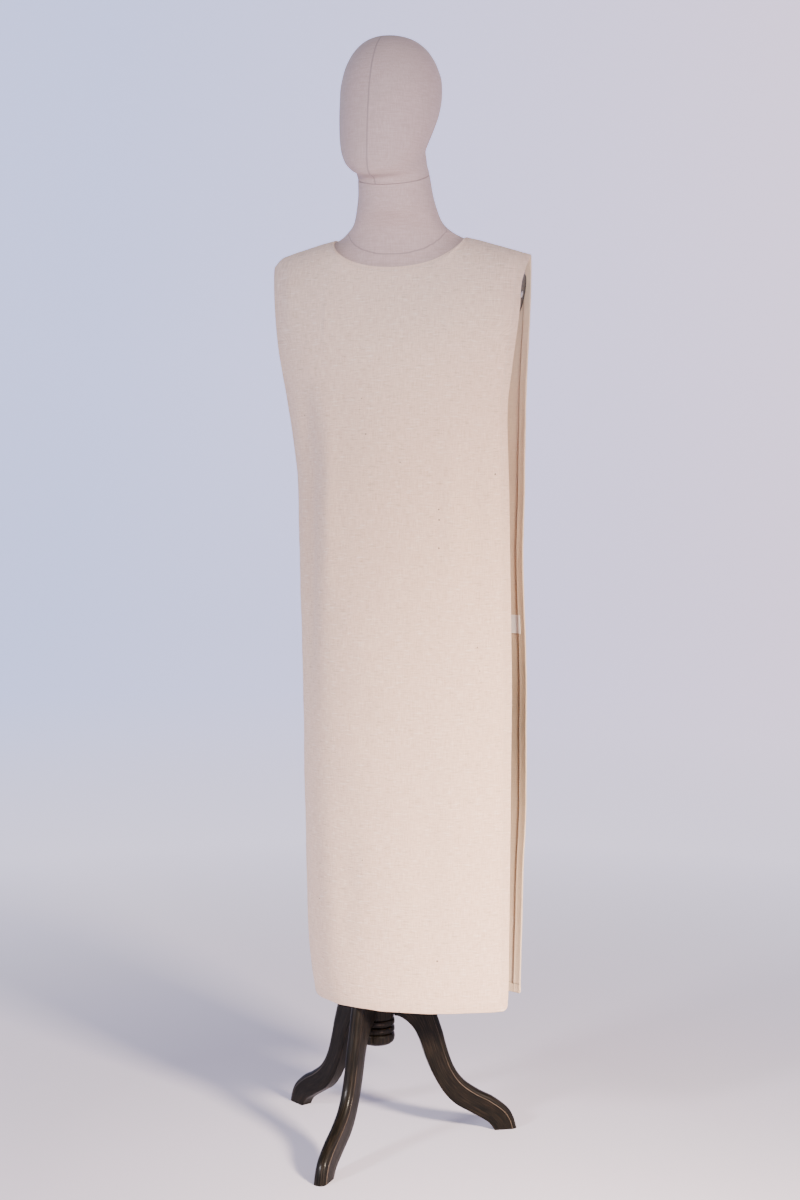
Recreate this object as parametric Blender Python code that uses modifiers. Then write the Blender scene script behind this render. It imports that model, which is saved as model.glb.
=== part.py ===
"""A tabard-style surcoat on a limbless dress form with a turned tripod stand.

Metres, +Z up. The wearer faces -Y, so +X is the wearer's left. While it is built, the shoulder
seams lie over the world's X axis; at the end the whole part moves so that the middle of its box
stands over the origin. The floor is z = 0.
"""
from collections import namedtuple
from math import cos, pi, radians, sin, sqrt, tan

import bpy
import numpy as np
from mathutils import Matrix, Vector

# Driving dimensions of the garment.
CLOTH_WALL = 0.0015         # one layer of heavy canvas
HEM_WALL = 0.0030           # turned and stitched edges
HEM_WIDTH = 0.015
HEM_STEP = 0.001            # how fast the wall thins beside a hem
SEAM_GAP = 0.0003           # between the two panels along a shoulder seam
SHOULDER_HALF_WIDTH = 0.2175
NECK_HALF_WIDTH = 0.111
NECK_CORNER_Z = 1.529
NECK_DROP_FRONT = 0.0537
NECK_DROP_BACK = 0.014
SHOULDER_FALL = 0.295       # drop of the shoulder seam for each metre outwards
DROOP_START_X = 0.198       # the seam's right end bends down past the form's shoulder
RIGHT_DROOP = 0.011
CHEST_Z = 1.322             # below this height the panels hang free
HEM_Z = 0.2523
COVER_LIFT = 0.0048         # from the form's surface to the cloth's outer face at the neckline
LIFT_FADE = 12              # how late the lift fades towards the neckline's corners
NARROWING = 1.4             # how late the yoke draws in from the shoulder to the chest

# Driving dimensions of the care label, sewn inside the back panel's left hem.
LABEL_Z = 0.885
LABEL_HEIGHT = 0.031
LABEL_FROM_EDGE = 0.009
LABEL_WIDTH = 0.026
LABEL_WALL = 0.0010
SEWN_GAP = 0.0003

# Driving dimensions of the dress form and its stand.
FORM_SIDES = 32
TURNED_SIDES = 24
ARM_CUT_X = 0.1990          # the flat where an arm would be, at the plate's middle
ARM_CUT_LEAN = radians(11)  # the flat leans out towards the shoulder
ARM_CUT_LOW_Z = 1.360       # below this height the flat is upright
PLATE_MIDDLE = (0.002, 1.434)
PLATE_HALF_SIZE = (0.0325, 0.033)
PLATE_WALL = 0.0032
PLATE_SIDES = 24
SCREW_RADIUS = 0.0055
SCREW_HEIGHT = 0.0016
SCREW_SIDES = 12
HEAD_PIVOT = Vector((-0.009, -0.052, 0))
STAND_X = -0.0425
STAND_Y = 0.0011
LEG_TURNS = (radians(-9.8), radians(112.6), radians(-128.8))    # let in a little unevenly
HUB_RADIUS = 0.0290
LEG_HALF_THICKNESS = 0.0110
FIT_GAP = 0.0003

# Plan sections of the two panels, by height: a cubic curve from the wearer's right edge to the
# left edge, with the two handles that pull it out over the body.
PanelSection = namedtuple(
    "PanelSection", "z right_x right_y right_pull_x right_pull_y left_pull_x left_pull_y left_x left_y")
FRONT_SECTIONS = [
    PanelSection(1.3220, -0.1930, -0.055, -0.115, -0.146, 0.118, -0.146, 0.1985, -0.064),
    PanelSection(1.2390, -0.1805, -0.047, -0.122, -0.150, 0.116, -0.149, 0.1900, -0.066),
    PanelSection(1.1290, -0.1700, -0.034, -0.138, -0.150, 0.110, -0.149, 0.1925, -0.064),
    PanelSection(0.9980, -0.1700, -0.022, -0.148, -0.148, 0.108, -0.147, 0.1950, -0.063),
    PanelSection(0.7680, -0.1680, -0.008, -0.150, -0.144, 0.102, -0.143, 0.1985, -0.061),
    PanelSection(0.6000, -0.1675, -0.002, -0.148, -0.141, 0.097, -0.139, 0.1975, -0.061),
    PanelSection(0.4350, -0.1660, 0.005, -0.143, -0.138, 0.091, -0.136, 0.1965, -0.061),
    PanelSection(0.3500, -0.1650, 0.009, -0.140, -0.137, 0.088, -0.135, 0.1955, -0.061),
    PanelSection(0.3000, -0.1605, 0.012, -0.138, -0.136, 0.087, -0.134, 0.1950, -0.0615),
    PanelSection(0.2523, -0.1540, 0.016, -0.135, -0.135, 0.085, -0.133, 0.1935, -0.062),
]
BACK_SECTIONS = [
    PanelSection(1.3220, -0.2050, 0.051, -0.122, 0.117, 0.118, 0.113, 0.2070, 0.045),
    PanelSection(1.2390, -0.1960, 0.048, -0.128, 0.119, 0.118, 0.113, 0.2046, 0.045),
    PanelSection(1.1290, -0.1850, 0.045, -0.134, 0.120, 0.117, 0.112, 0.2035, 0.045),
    PanelSection(0.9980, -0.1800, 0.044, -0.137, 0.120, 0.117, 0.110, 0.2010, 0.045),
    PanelSection(0.7680, -0.1780, 0.043, -0.138, 0.119, 0.116, 0.109, 0.2077, 0.045),
    PanelSection(0.6000, -0.1740, 0.042, -0.137, 0.118, 0.115, 0.108, 0.2080, 0.045),
    PanelSection(0.4350, -0.1680, 0.042, -0.135, 0.117, 0.114, 0.107, 0.2030, 0.045),
    PanelSection(0.3000, -0.1580, 0.042, -0.132, 0.116, 0.113, 0.106, 0.2000, 0.045),
    PanelSection(0.2523, -0.1520, 0.042, -0.130, 0.116, 0.112, 0.106, 0.1990, 0.044),
]

# How a panel leaves its top edge and rounds over the shoulder and chest. The top handle reaches
# out by a share of the way forward and dips by a share of the fall; the chest handle rises.
Yoke = namedtuple("Yoke", "across reach dip rise")
FRONT_YOKE = [
    Yoke(0.00, 0.26, 0.24, 0.40),
    Yoke(0.26, 0.28, 0.22, 0.42),
    Yoke(0.43, 0.45, 0.12, 0.48),
    Yoke(0.52, 0.60, 0.05, 0.56),
    Yoke(0.75, 0.60, 0.04, 0.56),
    Yoke(0.90, 0.55, 0.05, 0.48),
    Yoke(1.00, 0.46, 0.07, 0.37),
]
BACK_YOKE = [
    Yoke(0.00, 0.50, 0.10, 0.50),
    Yoke(0.26, 0.52, 0.09, 0.52),
    Yoke(0.43, 0.62, 0.06, 0.58),
    Yoke(0.52, 0.74, 0.02, 0.62),
    Yoke(0.75, 0.72, 0.02, 0.62),
    Yoke(0.90, 0.70, 0.03, 0.58),
    Yoke(1.00, 0.68, 0.05, 0.52),
]

# A soft, long fold: a trough pressed into a panel around a place across it, from top_z to low_z.
Fold = namedtuple("Fold", "across top_z low_z depth half_width")
FRONT_FOLDS = [
    Fold(-0.72, 1.300, 0.760, 0.0050, 0.115),
    Fold(0.70, 1.260, 0.860, 0.0030, 0.090),
    Fold(-0.30, 0.620, 0.260, 0.0020, 0.120),
]
BACK_FOLDS = [
    Fold(-0.55, 1.280, 0.420, 0.0045, 0.110),
    Fold(0.62, 1.240, 0.700, 0.0035, 0.095),
]

# Rings of the form's body, neck and head: middle_y is where a ring is widest, a tilted ring has
# its front lower than its back, and turn swings a ring about the neck.
FormRing = namedtuple("FormRing", "z middle_x half_width middle_y front back power tilt turn",
                      defaults=(2.0, 0, 0))
BODY_RINGS = [
    FormRing(0.800, -0.024, 0.118, 0.000, 0.060, 0.062, 2.2),
    FormRing(0.808, -0.024, 0.130, 0.000, 0.068, 0.072, 2.2),
    FormRing(0.850, -0.022, 0.140, -0.002, 0.080, 0.082, 2.2),
    FormRing(0.920, -0.018, 0.145, -0.006, 0.086, 0.088, 2.2),
    FormRing(1.000, -0.014, 0.143, -0.010, 0.087, 0.084, 2.2),
    FormRing(1.100, -0.009, 0.134, -0.014, 0.087, 0.076, 2.2),
    FormRing(1.190, -0.005, 0.146, -0.013, 0.095, 0.084, 2.2),
    FormRing(1.290, -0.001, 0.171, -0.010, 0.106, 0.091, 2.2),
    FormRing(1.3500, 0.000, 0.1940, -0.006, 0.101, 0.088, 2.3),
    FormRing(1.3950, 0.000, 0.2140, -0.002, 0.093, 0.081, 2.2),
    FormRing(1.4350, 0.000, 0.2240, 0.000, 0.084, 0.071, 2.1),
    FormRing(1.4700, 0.000, 0.2180, 0.000, 0.071, 0.060, 1.8),
    FormRing(1.4900, 0.000, 0.2040, -0.001, 0.067, 0.056, 1.5),
    FormRing(1.5050, 0.000, 0.1768, -0.001, 0.065, 0.054, 1.3),
    FormRing(1.5145, 0.000, 0.1446, -0.001, 0.064, 0.053, 1.2),
    FormRing(1.5240, 0.000, 0.1125, -0.001, 0.063, 0.053, 1.25),
    FormRing(1.5370, 0.000, 0.0870, -0.010, 0.064, 0.055, 2.0),
    FormRing(1.5510, 0.000, 0.0735, -0.021, 0.064, 0.058, 2.0),
    FormRing(1.5700, 0.000, 0.0665, -0.033, 0.063, 0.061, 2.0, 7),
    FormRing(1.5950, 0.000, 0.0610, -0.044, 0.0605, 0.0605, 2.0, 14),
    FormRing(1.6220, -0.001, 0.0585, -0.052, 0.059, 0.059, 2.0, 20),
]
HEAD_RINGS = [
    FormRing(1.6224, -0.001, 0.0585, -0.052, 0.059, 0.059, 2.0, 20, 0),
    FormRing(1.6340, -0.003, 0.0580, -0.056, 0.060, 0.058, 2.0, 22, -3),
    FormRing(1.6440, -0.005, 0.0600, -0.059, 0.070, 0.058, 2.0, 25, -6),
    FormRing(1.6520, -0.007, 0.0615, -0.060, 0.078, 0.062, 2.0, 28, -9),
    FormRing(1.6640, -0.009, 0.0675, -0.059, 0.088, 0.070, 2.0, 28, -10),
    FormRing(1.6840, -0.010, 0.0745, -0.054, 0.097, 0.082, 2.0, 26, -10),
    FormRing(1.7100, -0.010, 0.0795, -0.046, 0.102, 0.092, 2.0, 22, -10),
    FormRing(1.7400, -0.0105, 0.0815, -0.039, 0.104, 0.098, 2.0, 18, -10),
    FormRing(1.7680, -0.0115, 0.0810, -0.035, 0.101, 0.094, 2.0, 14, -10),
    FormRing(1.7960, -0.0125, 0.0750, -0.034, 0.092, 0.083, 2.0, 10, -10),
    FormRing(1.8200, -0.0130, 0.0635, -0.034, 0.077, 0.068, 2.0, 7, -10),
    FormRing(1.8370, -0.0130, 0.0475, -0.034, 0.058, 0.050, 2.0, 4, -10),
    FormRing(1.8465, -0.0130, 0.0290, -0.034, 0.036, 0.030, 2.0, 2, -10),
    FormRing(1.8500, -0.0130, 0.0090, -0.034, 0.011, 0.009, 2.0, 0, -10),
]

# The front of the neck's root, which fills the hollow between the throat and the shoulders.
NeckRoot = namedtuple("NeckRoot", "z half_width front")
NECK_ROOTS = [
    NeckRoot(1.4700, 0.080, 0.0600),
    NeckRoot(1.4900, 0.098, 0.0685),
    NeckRoot(1.5050, 0.103, 0.0690),
    NeckRoot(1.5145, 0.100, 0.0695),
    NeckRoot(1.5240, 0.095, 0.0710),
    NeckRoot(1.5370, 0.087, 0.0740),
]

# One leg in its own upright plane, as distances from the column's axis and heights: each row
# joins the leg's upper, outer edge to its lower, inner edge.
LegStation = namedtuple("LegStation", "outer_r outer_z inner_r inner_z")
LEG_STATIONS = [
    LegStation(0.0293, 0.325, 0.0293, 0.212),
    LegStation(0.0580, 0.312, 0.0350, 0.211),
    LegStation(0.0790, 0.284, 0.0430, 0.207),
    LegStation(0.0940, 0.248, 0.0550, 0.197),
    LegStation(0.1045, 0.210, 0.0670, 0.181),
    LegStation(0.1145, 0.179, 0.0765, 0.160),
    LegStation(0.1225, 0.149, 0.0855, 0.133),
    LegStation(0.1345, 0.116, 0.0990, 0.101),
    LegStation(0.1530, 0.090, 0.1160, 0.072),
    LegStation(0.1810, 0.070, 0.1360, 0.051),
    LegStation(0.2050, 0.057, 0.1620, 0.035),
    LegStation(0.2300, 0.037, 0.1900, 0.018),
    LegStation(0.2410, 0.019, 0.2005, 0.008),
    LegStation(0.2465, 0.000, 0.2055, 0.000),
]
# The leg's cross-section: along runs from the outer edge to the inner edge, side is a share of
# the half thickness. The outer edge is well rounded, the inner one only eased.
LegCorner = namedtuple("LegCorner", "along side")
LEG_SECTION = [LegCorner(0.00, 0.30), LegCorner(0.08, 0.74), LegCorner(0.26, 1.00),
               LegCorner(0.92, 1.00), LegCorner(1.00, 0.80)]

# Turned profiles, top to bottom.
Turning = namedtuple("Turning", "radius z")
COLUMN_PROFILE = [
    Turning(0.0000, 0.7997), Turning(0.0450, 0.7997), Turning(0.0450, 0.7920), Turning(0.0180, 0.7860),
    Turning(0.0150, 0.7700), Turning(0.0150, 0.5200), Turning(0.0190, 0.4900), Turning(0.0230, 0.4500),
    Turning(0.0240, 0.4200), Turning(0.0190, 0.3850), Turning(0.0170, 0.3660), Turning(0.0250, 0.3560),
    Turning(0.0250, 0.3470), Turning(HUB_RADIUS, 0.3400), Turning(HUB_RADIUS, 0.2090), Turning(0.0000, 0.2090),
]
FINIAL_PROFILE = [
    Turning(0.0000, 0.2087), Turning(0.0278, 0.2087), Turning(0.0303, 0.2050), Turning(0.0303, 0.2000),
    Turning(0.0278, 0.1965), Turning(0.0303, 0.1930), Turning(0.0303, 0.1880), Turning(0.0278, 0.1845),
    Turning(0.0303, 0.1805), Turning(0.0305, 0.1745), Turning(0.0278, 0.1680), Turning(0.0200, 0.1637),
    Turning(0.0000, 0.1620),
]


def start_scene():
    """Empty the scene and make the part's collection, with one empty that carries every piece."""
    for thing in list(bpy.data.objects):
        bpy.data.objects.remove(thing, do_unlink=True)
    collection = bpy.data.collections.new("surcoat_on_dress_form")
    bpy.context.scene.collection.children.link(collection)
    carrier = bpy.data.objects.new("part_origin", None)
    collection.objects.link(carrier)
    return collection, carrier


def surface_material(name, color, roughness, metallic=0.0):
    material = bpy.data.materials.new(name)
    material.use_nodes = True
    shader = material.node_tree.nodes["Principled BSDF"]
    shader.inputs["Base Color"].default_value = (*color, 1.0)
    shader.inputs["Roughness"].default_value = roughness
    shader.inputs["Metallic"].default_value = metallic
    return material


def add_piece(name, points, faces, material, smooth_angle=radians(40)):
    """Make one closed body, shade it smooth and put it on the carrier."""
    mesh = bpy.data.meshes.new(name)
    mesh.from_pydata([tuple(point) for point in points], [], faces)
    mesh.materials.append(material)
    mesh.shade_smooth()
    mesh.set_sharp_from_angle(angle=smooth_angle)
    piece = bpy.data.objects.new(name, mesh)
    piece.parent = CARRIER
    COLLECTION.objects.link(piece)
    return piece


def smooth_row(table, key, at):
    """A row of the table at any key value: monotone cubics through the given rows."""
    rows = sorted(table, key=lambda row: getattr(row, key))
    keys = np.array([getattr(row, key) for row in rows])
    values = np.array(rows, dtype=float)
    gaps = np.diff(keys)[:, None]
    slopes = np.diff(values, axis=0) / gaps
    tangents = np.zeros_like(values)
    tangents[0], tangents[-1] = slopes[0], slopes[-1]
    same_way = slopes[:-1] * slopes[1:] > 0
    with np.errstate(divide="ignore", invalid="ignore"):
        mean = 2 * slopes[:-1] * slopes[1:] / (slopes[:-1] + slopes[1:])
    tangents[1:-1] = np.where(same_way, mean, 0.0)
    at = min(max(at, keys[0]), keys[-1])
    i = min(int(np.searchsorted(keys, at, side="right")) - 1, len(keys) - 2)
    gap = keys[i + 1] - keys[i]
    t = (at - keys[i]) / gap
    row = (values[i] * (1 + 2 * t) * (1 - t) ** 2 + values[i + 1] * t * t * (3 - 2 * t)
           + gap * tangents[i] * t * (1 - t) ** 2 - gap * tangents[i + 1] * t * t * (1 - t))
    return type(table[0])(*row)


def cubic(start, start_pull, end_pull, end, t):
    return ((1 - t) ** 3 * start + 3 * (1 - t) ** 2 * t * start_pull
            + 3 * (1 - t) * t * t * end_pull + t ** 3 * end)


def form_y(side, x, z):
    """The form's surface at x and z, on its front (side -1) or its back (side +1)."""
    ring = smooth_row(BODY_RINGS, "z", z)
    share = min(abs(x - ring.middle_x) / ring.half_width, 1.0)
    reach = ring.front if side < 0 else ring.back
    return ring.middle_y + side * reach * (1 - share ** ring.power) ** (1 / ring.power)


Panel = namedtuple("Panel", "name side sections yoke folds neck_drop")
FRONT = Panel("front_panel", -1, FRONT_SECTIONS, FRONT_YOKE, FRONT_FOLDS, NECK_DROP_FRONT)
BACK = Panel("back_panel", 1, BACK_SECTIONS, BACK_YOKE, BACK_FOLDS, NECK_DROP_BACK)


def hanging_point(panel, across, z):
    """A point of the free-hanging cloth: across runs from -1 (right edge) to 1 (left edge)."""
    row = smooth_row(panel.sections, "z", z)
    steps = np.linspace(0, 1, 65)[:, None]
    curve = cubic(np.array([row.right_x, row.right_y]), np.array([row.right_pull_x, row.right_pull_y]),
                  np.array([row.left_pull_x, row.left_pull_y]), np.array([row.left_x, row.left_y]), steps)
    lengths = np.concatenate([[0], np.cumsum(np.linalg.norm(np.diff(curve, axis=0), axis=1))])
    along = (across + 1) / 2 * lengths[-1]
    return np.array([np.interp(along, lengths, curve[:, 0]), np.interp(along, lengths, curve[:, 1]), z])


def top_point(panel, x):
    """Where the cloth starts at x: on the neckline, or outside its corners on the shoulder seam."""
    from_neck = abs(x) - NECK_HALF_WIDTH
    if from_neck < 0:
        share = abs(x) / NECK_HALF_WIDTH
        z = NECK_CORNER_Z - panel.neck_drop * sqrt(1 - share ** 2)
        y = form_y(panel.side, x, z - COVER_LIFT) + panel.side * COVER_LIFT * (1 - share ** LIFT_FADE)
        return np.array([x, y, z])
    past = max(0.0, (abs(x) - DROOP_START_X) / (SHOULDER_HALF_WIDTH - DROOP_START_X))
    droop = (RIGHT_DROOP if x < 0 else 0.0) * past ** 2
    return np.array([x, panel.side * SEAM_GAP / 2, NECK_CORNER_Z - SHOULDER_FALL * from_neck - droop])


def yoke_point(panel, across, down):
    """A point between the top edge (down 0) and the chest line (down 1)."""
    yoke = smooth_row(panel.yoke, "across", abs(across))
    start = top_point(panel, across * SHOULDER_HALF_WIDTH)
    end = hanging_point(panel, across, CHEST_Z)
    forward, fall = end[1] - start[1], start[2] - end[2]
    start_pull = start + np.array([0, yoke.reach * forward, -yoke.dip * fall])
    end_pull = end + np.array([0, 0, yoke.rise * fall])
    point = cubic(start, start_pull, end_pull, end, down)
    point[0] = start[0] + (end[0] - start[0]) * down ** NARROWING
    return point


def fold_depth(panel, across, z):
    """How far the soft folds press the cloth inwards at this place."""
    depth = 0.0
    for fold in panel.folds:
        if fold.low_z < z < fold.top_z:
            run = sin(pi * (fold.top_z - z) / (fold.top_z - fold.low_z))
            aside = (across - fold.across) / fold.half_width
            depth += fold.depth * run * np.exp(-aside * aside)
    return depth


def panel_columns():
    """Places across a panel: hem lines at both edges, and a column at each neckline corner."""
    half_cloth = SHOULDER_HALF_WIDTH
    hem = [1.0, 1 - HEM_WIDTH / half_cloth, 1 - (HEM_WIDTH + HEM_STEP) / half_cloth]
    corner = NECK_HALF_WIDTH / half_cloth
    shoulder = list(np.linspace(hem[-1], corner, 5))[1:]
    neck = [corner * sin(radians(turn)) for turn in (82, 69, 53, 36, 18)]
    left = hem + shoulder + neck
    return [-place for place in left] + [0.0] + left[::-1]


YOKE_DOWNS = [0.0, 0.045, 0.055, 0.14, 0.25, 0.38, 0.52, 0.68, 0.84]
HANGING_ZS = [CHEST_Z, 1.255, 1.19, 1.12, 1.04, 0.95, 0.85, 0.74, 0.63, 0.53, 0.44, 0.37, 0.32, 0.29,
              HEM_Z + HEM_WIDTH + HEM_STEP, HEM_Z + HEM_WIDTH, HEM_Z]


def panel_grid(panel, columns):
    """The panel's outer face, as rows of points from the top edge to the hem."""
    rows = [[yoke_point(panel, across, down) for across in columns] for down in YOKE_DOWNS]
    rows += [[hanging_point(panel, across, z) for across in columns] for z in HANGING_ZS]
    return np.array(rows)


def grid_normals(grid, side):
    """Unit normals of a grid of points, facing away from the body."""
    across = np.gradient(grid, axis=1)
    down = np.gradient(grid, axis=0)
    normals = np.cross(across, down)
    normals /= np.linalg.norm(normals, axis=2)[:, :, None]
    if side * normals[len(grid) // 2, grid.shape[1] // 2, 1] < 0:
        normals = -normals
    return normals


def make_panel(panel, material):
    """A cloth wall whose inner face steps in along the hems, the seam and the neckline."""
    columns = panel_columns()
    grid = panel_grid(panel, columns)
    normals = grid_normals(grid, panel.side)
    on_seam = np.abs(np.array(columns)) * SHOULDER_HALF_WIDTH >= NECK_HALF_WIDTH
    normals[0, on_seam, 1] = 0.0
    normals[0, on_seam] /= np.linalg.norm(normals[0, on_seam], axis=1)[:, None]
    wall = np.full(grid.shape[:2], CLOTH_WALL)
    wall[:2] = wall[-2:] = HEM_WALL
    wall[:, :2] = wall[:, -2:] = HEM_WALL
    for i, row in enumerate(grid):
        for j, point in enumerate(row):
            point -= normals[i, j] * fold_depth(panel, columns[j], point[2])
    inner = grid - normals * wall[:, :, None]
    add_wall(panel.name, grid, inner, panel.side, material)


def add_wall(name, outer, inner, side, material):
    """Join an outer and an inner grid of points into one closed wall."""
    rows, places = outer.shape[:2]
    points = list(outer.reshape(-1, 3)) + list(inner.reshape(-1, 3))
    back = rows * places
    faces = []
    for i in range(rows - 1):
        for j in range(places - 1):
            quad = [i * places + j, i * places + j + 1, (i + 1) * places + j + 1, (i + 1) * places + j]
            faces.append(quad[::-1])
            faces.append([back + corner for corner in quad])
    rim = [(0, j) for j in range(places)] + [(i, places - 1) for i in range(1, rows)]
    rim += [(rows - 1, j) for j in range(places - 2, -1, -1)] + [(i, 0) for i in range(rows - 2, 0, -1)]
    ring = [i * places + j for i, j in rim]
    for here, after in zip(ring, ring[1:] + ring[:1]):
        faces.append([here, after, back + after, back + here])
    if side > 0:
        faces = [face[::-1] for face in faces]
    add_piece(name, points, faces, material, smooth_angle=radians(50))


def make_label(panel, material):
    """A bare strip of ribbon on the back panel's inner face, just inside its left hem edge."""
    cloth_width = 2 * SHOULDER_HALF_WIDTH
    edge_places = [1 - 2 * (LABEL_FROM_EDGE + LABEL_WIDTH * share) / cloth_width for share in (1, 0.5, 0)]
    heights = [LABEL_Z + LABEL_HEIGHT / 2, LABEL_Z, LABEL_Z - LABEL_HEIGHT / 2]
    face = np.array([[hanging_point(panel, across, z) for across in edge_places] for z in heights])
    normals = grid_normals(face, panel.side)
    outer = face - normals * (HEM_WALL + SEWN_GAP)
    inner = outer - normals * LABEL_WALL
    add_wall("care_label", outer, inner, panel.side, material)


def arm_cut_x(z):
    """How far out the flat where an arm would be lies at this height."""
    return ARM_CUT_X + tan(ARM_CUT_LEAN) * (max(z, ARM_CUT_LOW_Z) - PLATE_MIDDLE[1])


def neck_root_y(x, z):
    """The front of the neck's root at x and z, or 0 where it has none."""
    root = smooth_row(NECK_ROOTS, "z", z)
    if not NECK_ROOTS[0].z <= z <= NECK_ROOTS[-1].z or abs(x) >= root.half_width:
        return 0.0
    return -root.front * sqrt(1 - (x / root.half_width) ** 2)


def ring_points(ring, sides, on_body=False):
    """One ring of the form, seen from above anticlockwise from its left side."""
    points = []
    for step in range(sides):
        turn = 2 * pi * step / sides
        reach = ring.back if sin(turn) >= 0 else ring.front
        x = ring.half_width * np.sign(cos(turn)) * abs(cos(turn)) ** (2 / ring.power)
        out = reach * np.sign(sin(turn)) * abs(sin(turn)) ** (2 / ring.power)
        if on_body:
            x = min(max(x, -arm_cut_x(ring.z)), arm_cut_x(ring.z))
            if sin(turn) < 0:
                out = min(out, neck_root_y(x, ring.z) - ring.middle_y)
        tilt = radians(ring.tilt)
        point = Vector((ring.middle_x + x, ring.middle_y + out * cos(tilt), ring.z + out * sin(tilt)))
        swing = Matrix.Rotation(radians(ring.turn), 3, "Z")
        points.append(HEAD_PIVOT + swing @ (point - HEAD_PIVOT))
    return points


def loft(name, rings, material, smooth_angle=radians(40)):
    """Skin a stack of rings from the bottom up and close both ends."""
    sides = len(rings[0])
    points = [point for ring in rings for point in ring]
    faces = [list(range(sides))[::-1], [(len(rings) - 1) * sides + k for k in range(sides)]]
    for i in range(len(rings) - 1):
        for k in range(sides):
            after = (k + 1) % sides
            faces.append([i * sides + k, i * sides + after, (i + 1) * sides + after, (i + 1) * sides + k])
    return add_piece(name, points, faces, material, smooth_angle)


def stacked_discs(side, half_size, sides, layers):
    """Rings round the plate's axis on one side's leaning flat, each some way out and of some size."""
    middle = Vector((side * ARM_CUT_X, *PLATE_MIDDLE))
    outwards = Vector((side * cos(ARM_CUT_LEAN), 0, -sin(ARM_CUT_LEAN)))
    upwards = Vector((side * sin(ARM_CUT_LEAN), 0, cos(ARM_CUT_LEAN)))
    turns = np.linspace(0, side * 2 * pi, sides, endpoint=False)
    return [[middle + outwards * out + Vector((0, size * half_size[0] * cos(turn), 0))
             + upwards * (size * half_size[1] * sin(turn)) for turn in turns] for out, size in layers]


def make_form(linen, plate_stain, steel):
    """The padded body with its neck, the turned head and a plate with a screw at each shoulder."""
    loft("form_body", [ring_points(ring, FORM_SIDES, True) for ring in BODY_RINGS], linen, radians(60))
    loft("form_head", [ring_points(ring, FORM_SIDES) for ring in HEAD_RINGS], linen, radians(60))
    for name, side in (("left", 1), ("right", -1)):
        plate_layers = ((FIT_GAP, 1), (FIT_GAP + PLATE_WALL * 0.7, 1), (FIT_GAP + PLATE_WALL, 0.95))
        loft(f"shoulder_plate_{name}", stacked_discs(side, PLATE_HALF_SIZE, PLATE_SIDES, plate_layers),
             plate_stain)
        face = PLATE_WALL + 2 * FIT_GAP
        screw_layers = ((face, 1), (face + SCREW_HEIGHT / 2, 1), (face + SCREW_HEIGHT, 0.6))
        loft(f"shoulder_screw_{name}",
             stacked_discs(side, (SCREW_RADIUS, SCREW_RADIUS), SCREW_SIDES, screw_layers), steel)


def make_turning(name, profile, material):
    """A turned piece: its profile, top to bottom, spun about the stand's axis."""
    mesh = bpy.data.meshes.new(name)
    points = [(row.radius, 0, row.z) for row in profile]
    mesh.from_pydata(points, [(i, i + 1) for i in range(len(points) - 1)], [])
    mesh.materials.append(material)
    piece = bpy.data.objects.new(name, mesh)
    COLLECTION.objects.link(piece)
    piece.parent = CARRIER
    piece.location = (STAND_X, STAND_Y, 0)
    spin = piece.modifiers.new("spin", "SCREW")
    spin.steps = spin.render_steps = TURNED_SIDES
    spin.use_merge_vertices = True
    spin.merge_threshold = 0.0001
    spin.use_smooth_shade = True


def make_leg(name, turn, material):
    """One S-curved leg board, lofted along its stations and turned about the column."""
    rings = []
    for station in LEG_STATIONS[::-1]:
        outer = Vector((0, -station.outer_r, station.outer_z))
        inner = Vector((0, -station.inner_r, station.inner_z))
        half = [(outer.lerp(inner, corner.along), corner.side) for corner in LEG_SECTION]
        right = [point + Vector((-LEG_HALF_THICKNESS * side, 0, 0)) for point, side in half]
        left = [point + Vector((LEG_HALF_THICKNESS * side, 0, 0)) for point, side in half]
        rings.append(left + right[::-1])
    leg = loft(name, rings, material, radians(35))
    leg.rotation_euler = (0, 0, turn)
    leg.location = (STAND_X, STAND_Y, 0)


def centre_on_origin():
    """Move the carrier so that the middle of the part's box stands over the origin."""
    bpy.context.view_layer.update()
    graph = bpy.context.evaluated_depsgraph_get()
    corners = []
    for piece in COLLECTION.objects:
        if piece.type == "MESH":
            shown = piece.evaluated_get(graph)
            corners += [shown.matrix_world @ vertex.co for vertex in shown.data.vertices]
    for axis in (0, 1):
        low = min(corner[axis] for corner in corners)
        high = max(corner[axis] for corner in corners)
        CARRIER.location[axis] = -(low + high) / 2


COLLECTION, CARRIER = start_scene()
canvas = surface_material("undyed canvas", (0.69, 0.61, 0.55), 0.92)
ribbon = surface_material("white ribbon", (0.72, 0.72, 0.70), 0.80)
linen = surface_material("natural linen", (0.56, 0.48, 0.45), 0.90)
stain = surface_material("black-brown stained wood", (0.021, 0.018, 0.015), 0.45)
steel = surface_material("bright steel", (0.62, 0.62, 0.60), 0.30, 1.0)

make_panel(FRONT, canvas)
make_panel(BACK, canvas)
make_label(BACK, ribbon)
make_form(linen, stain, steel)
make_turning("stand_column", COLUMN_PROFILE, stain)
make_turning("stand_finial", FINIAL_PROFILE, stain)
for name, turn in zip(("leg_front", "leg_left", "leg_right"), LEG_TURNS):
    make_leg(name, turn, stain)
centre_on_origin()
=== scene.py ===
"""A tabard-style canvas surcoat on a limbless dress form with a turned tripod stand.

Metres, +Z up, floor at z = 0. The wearer faces -Y, so +X is the wearer's left. The sections follow
the object as it is put together: stand, form, plates, cloth panels, sewing and label.
"""
from collections import namedtuple
from functools import partial
from math import atan2, cos, exp, pi, radians, sin, sqrt, tan

import bmesh
import bpy
import numpy as np
from mathutils import Matrix, Vector, noise
from mathutils.bvhtree import BVHTree


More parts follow.
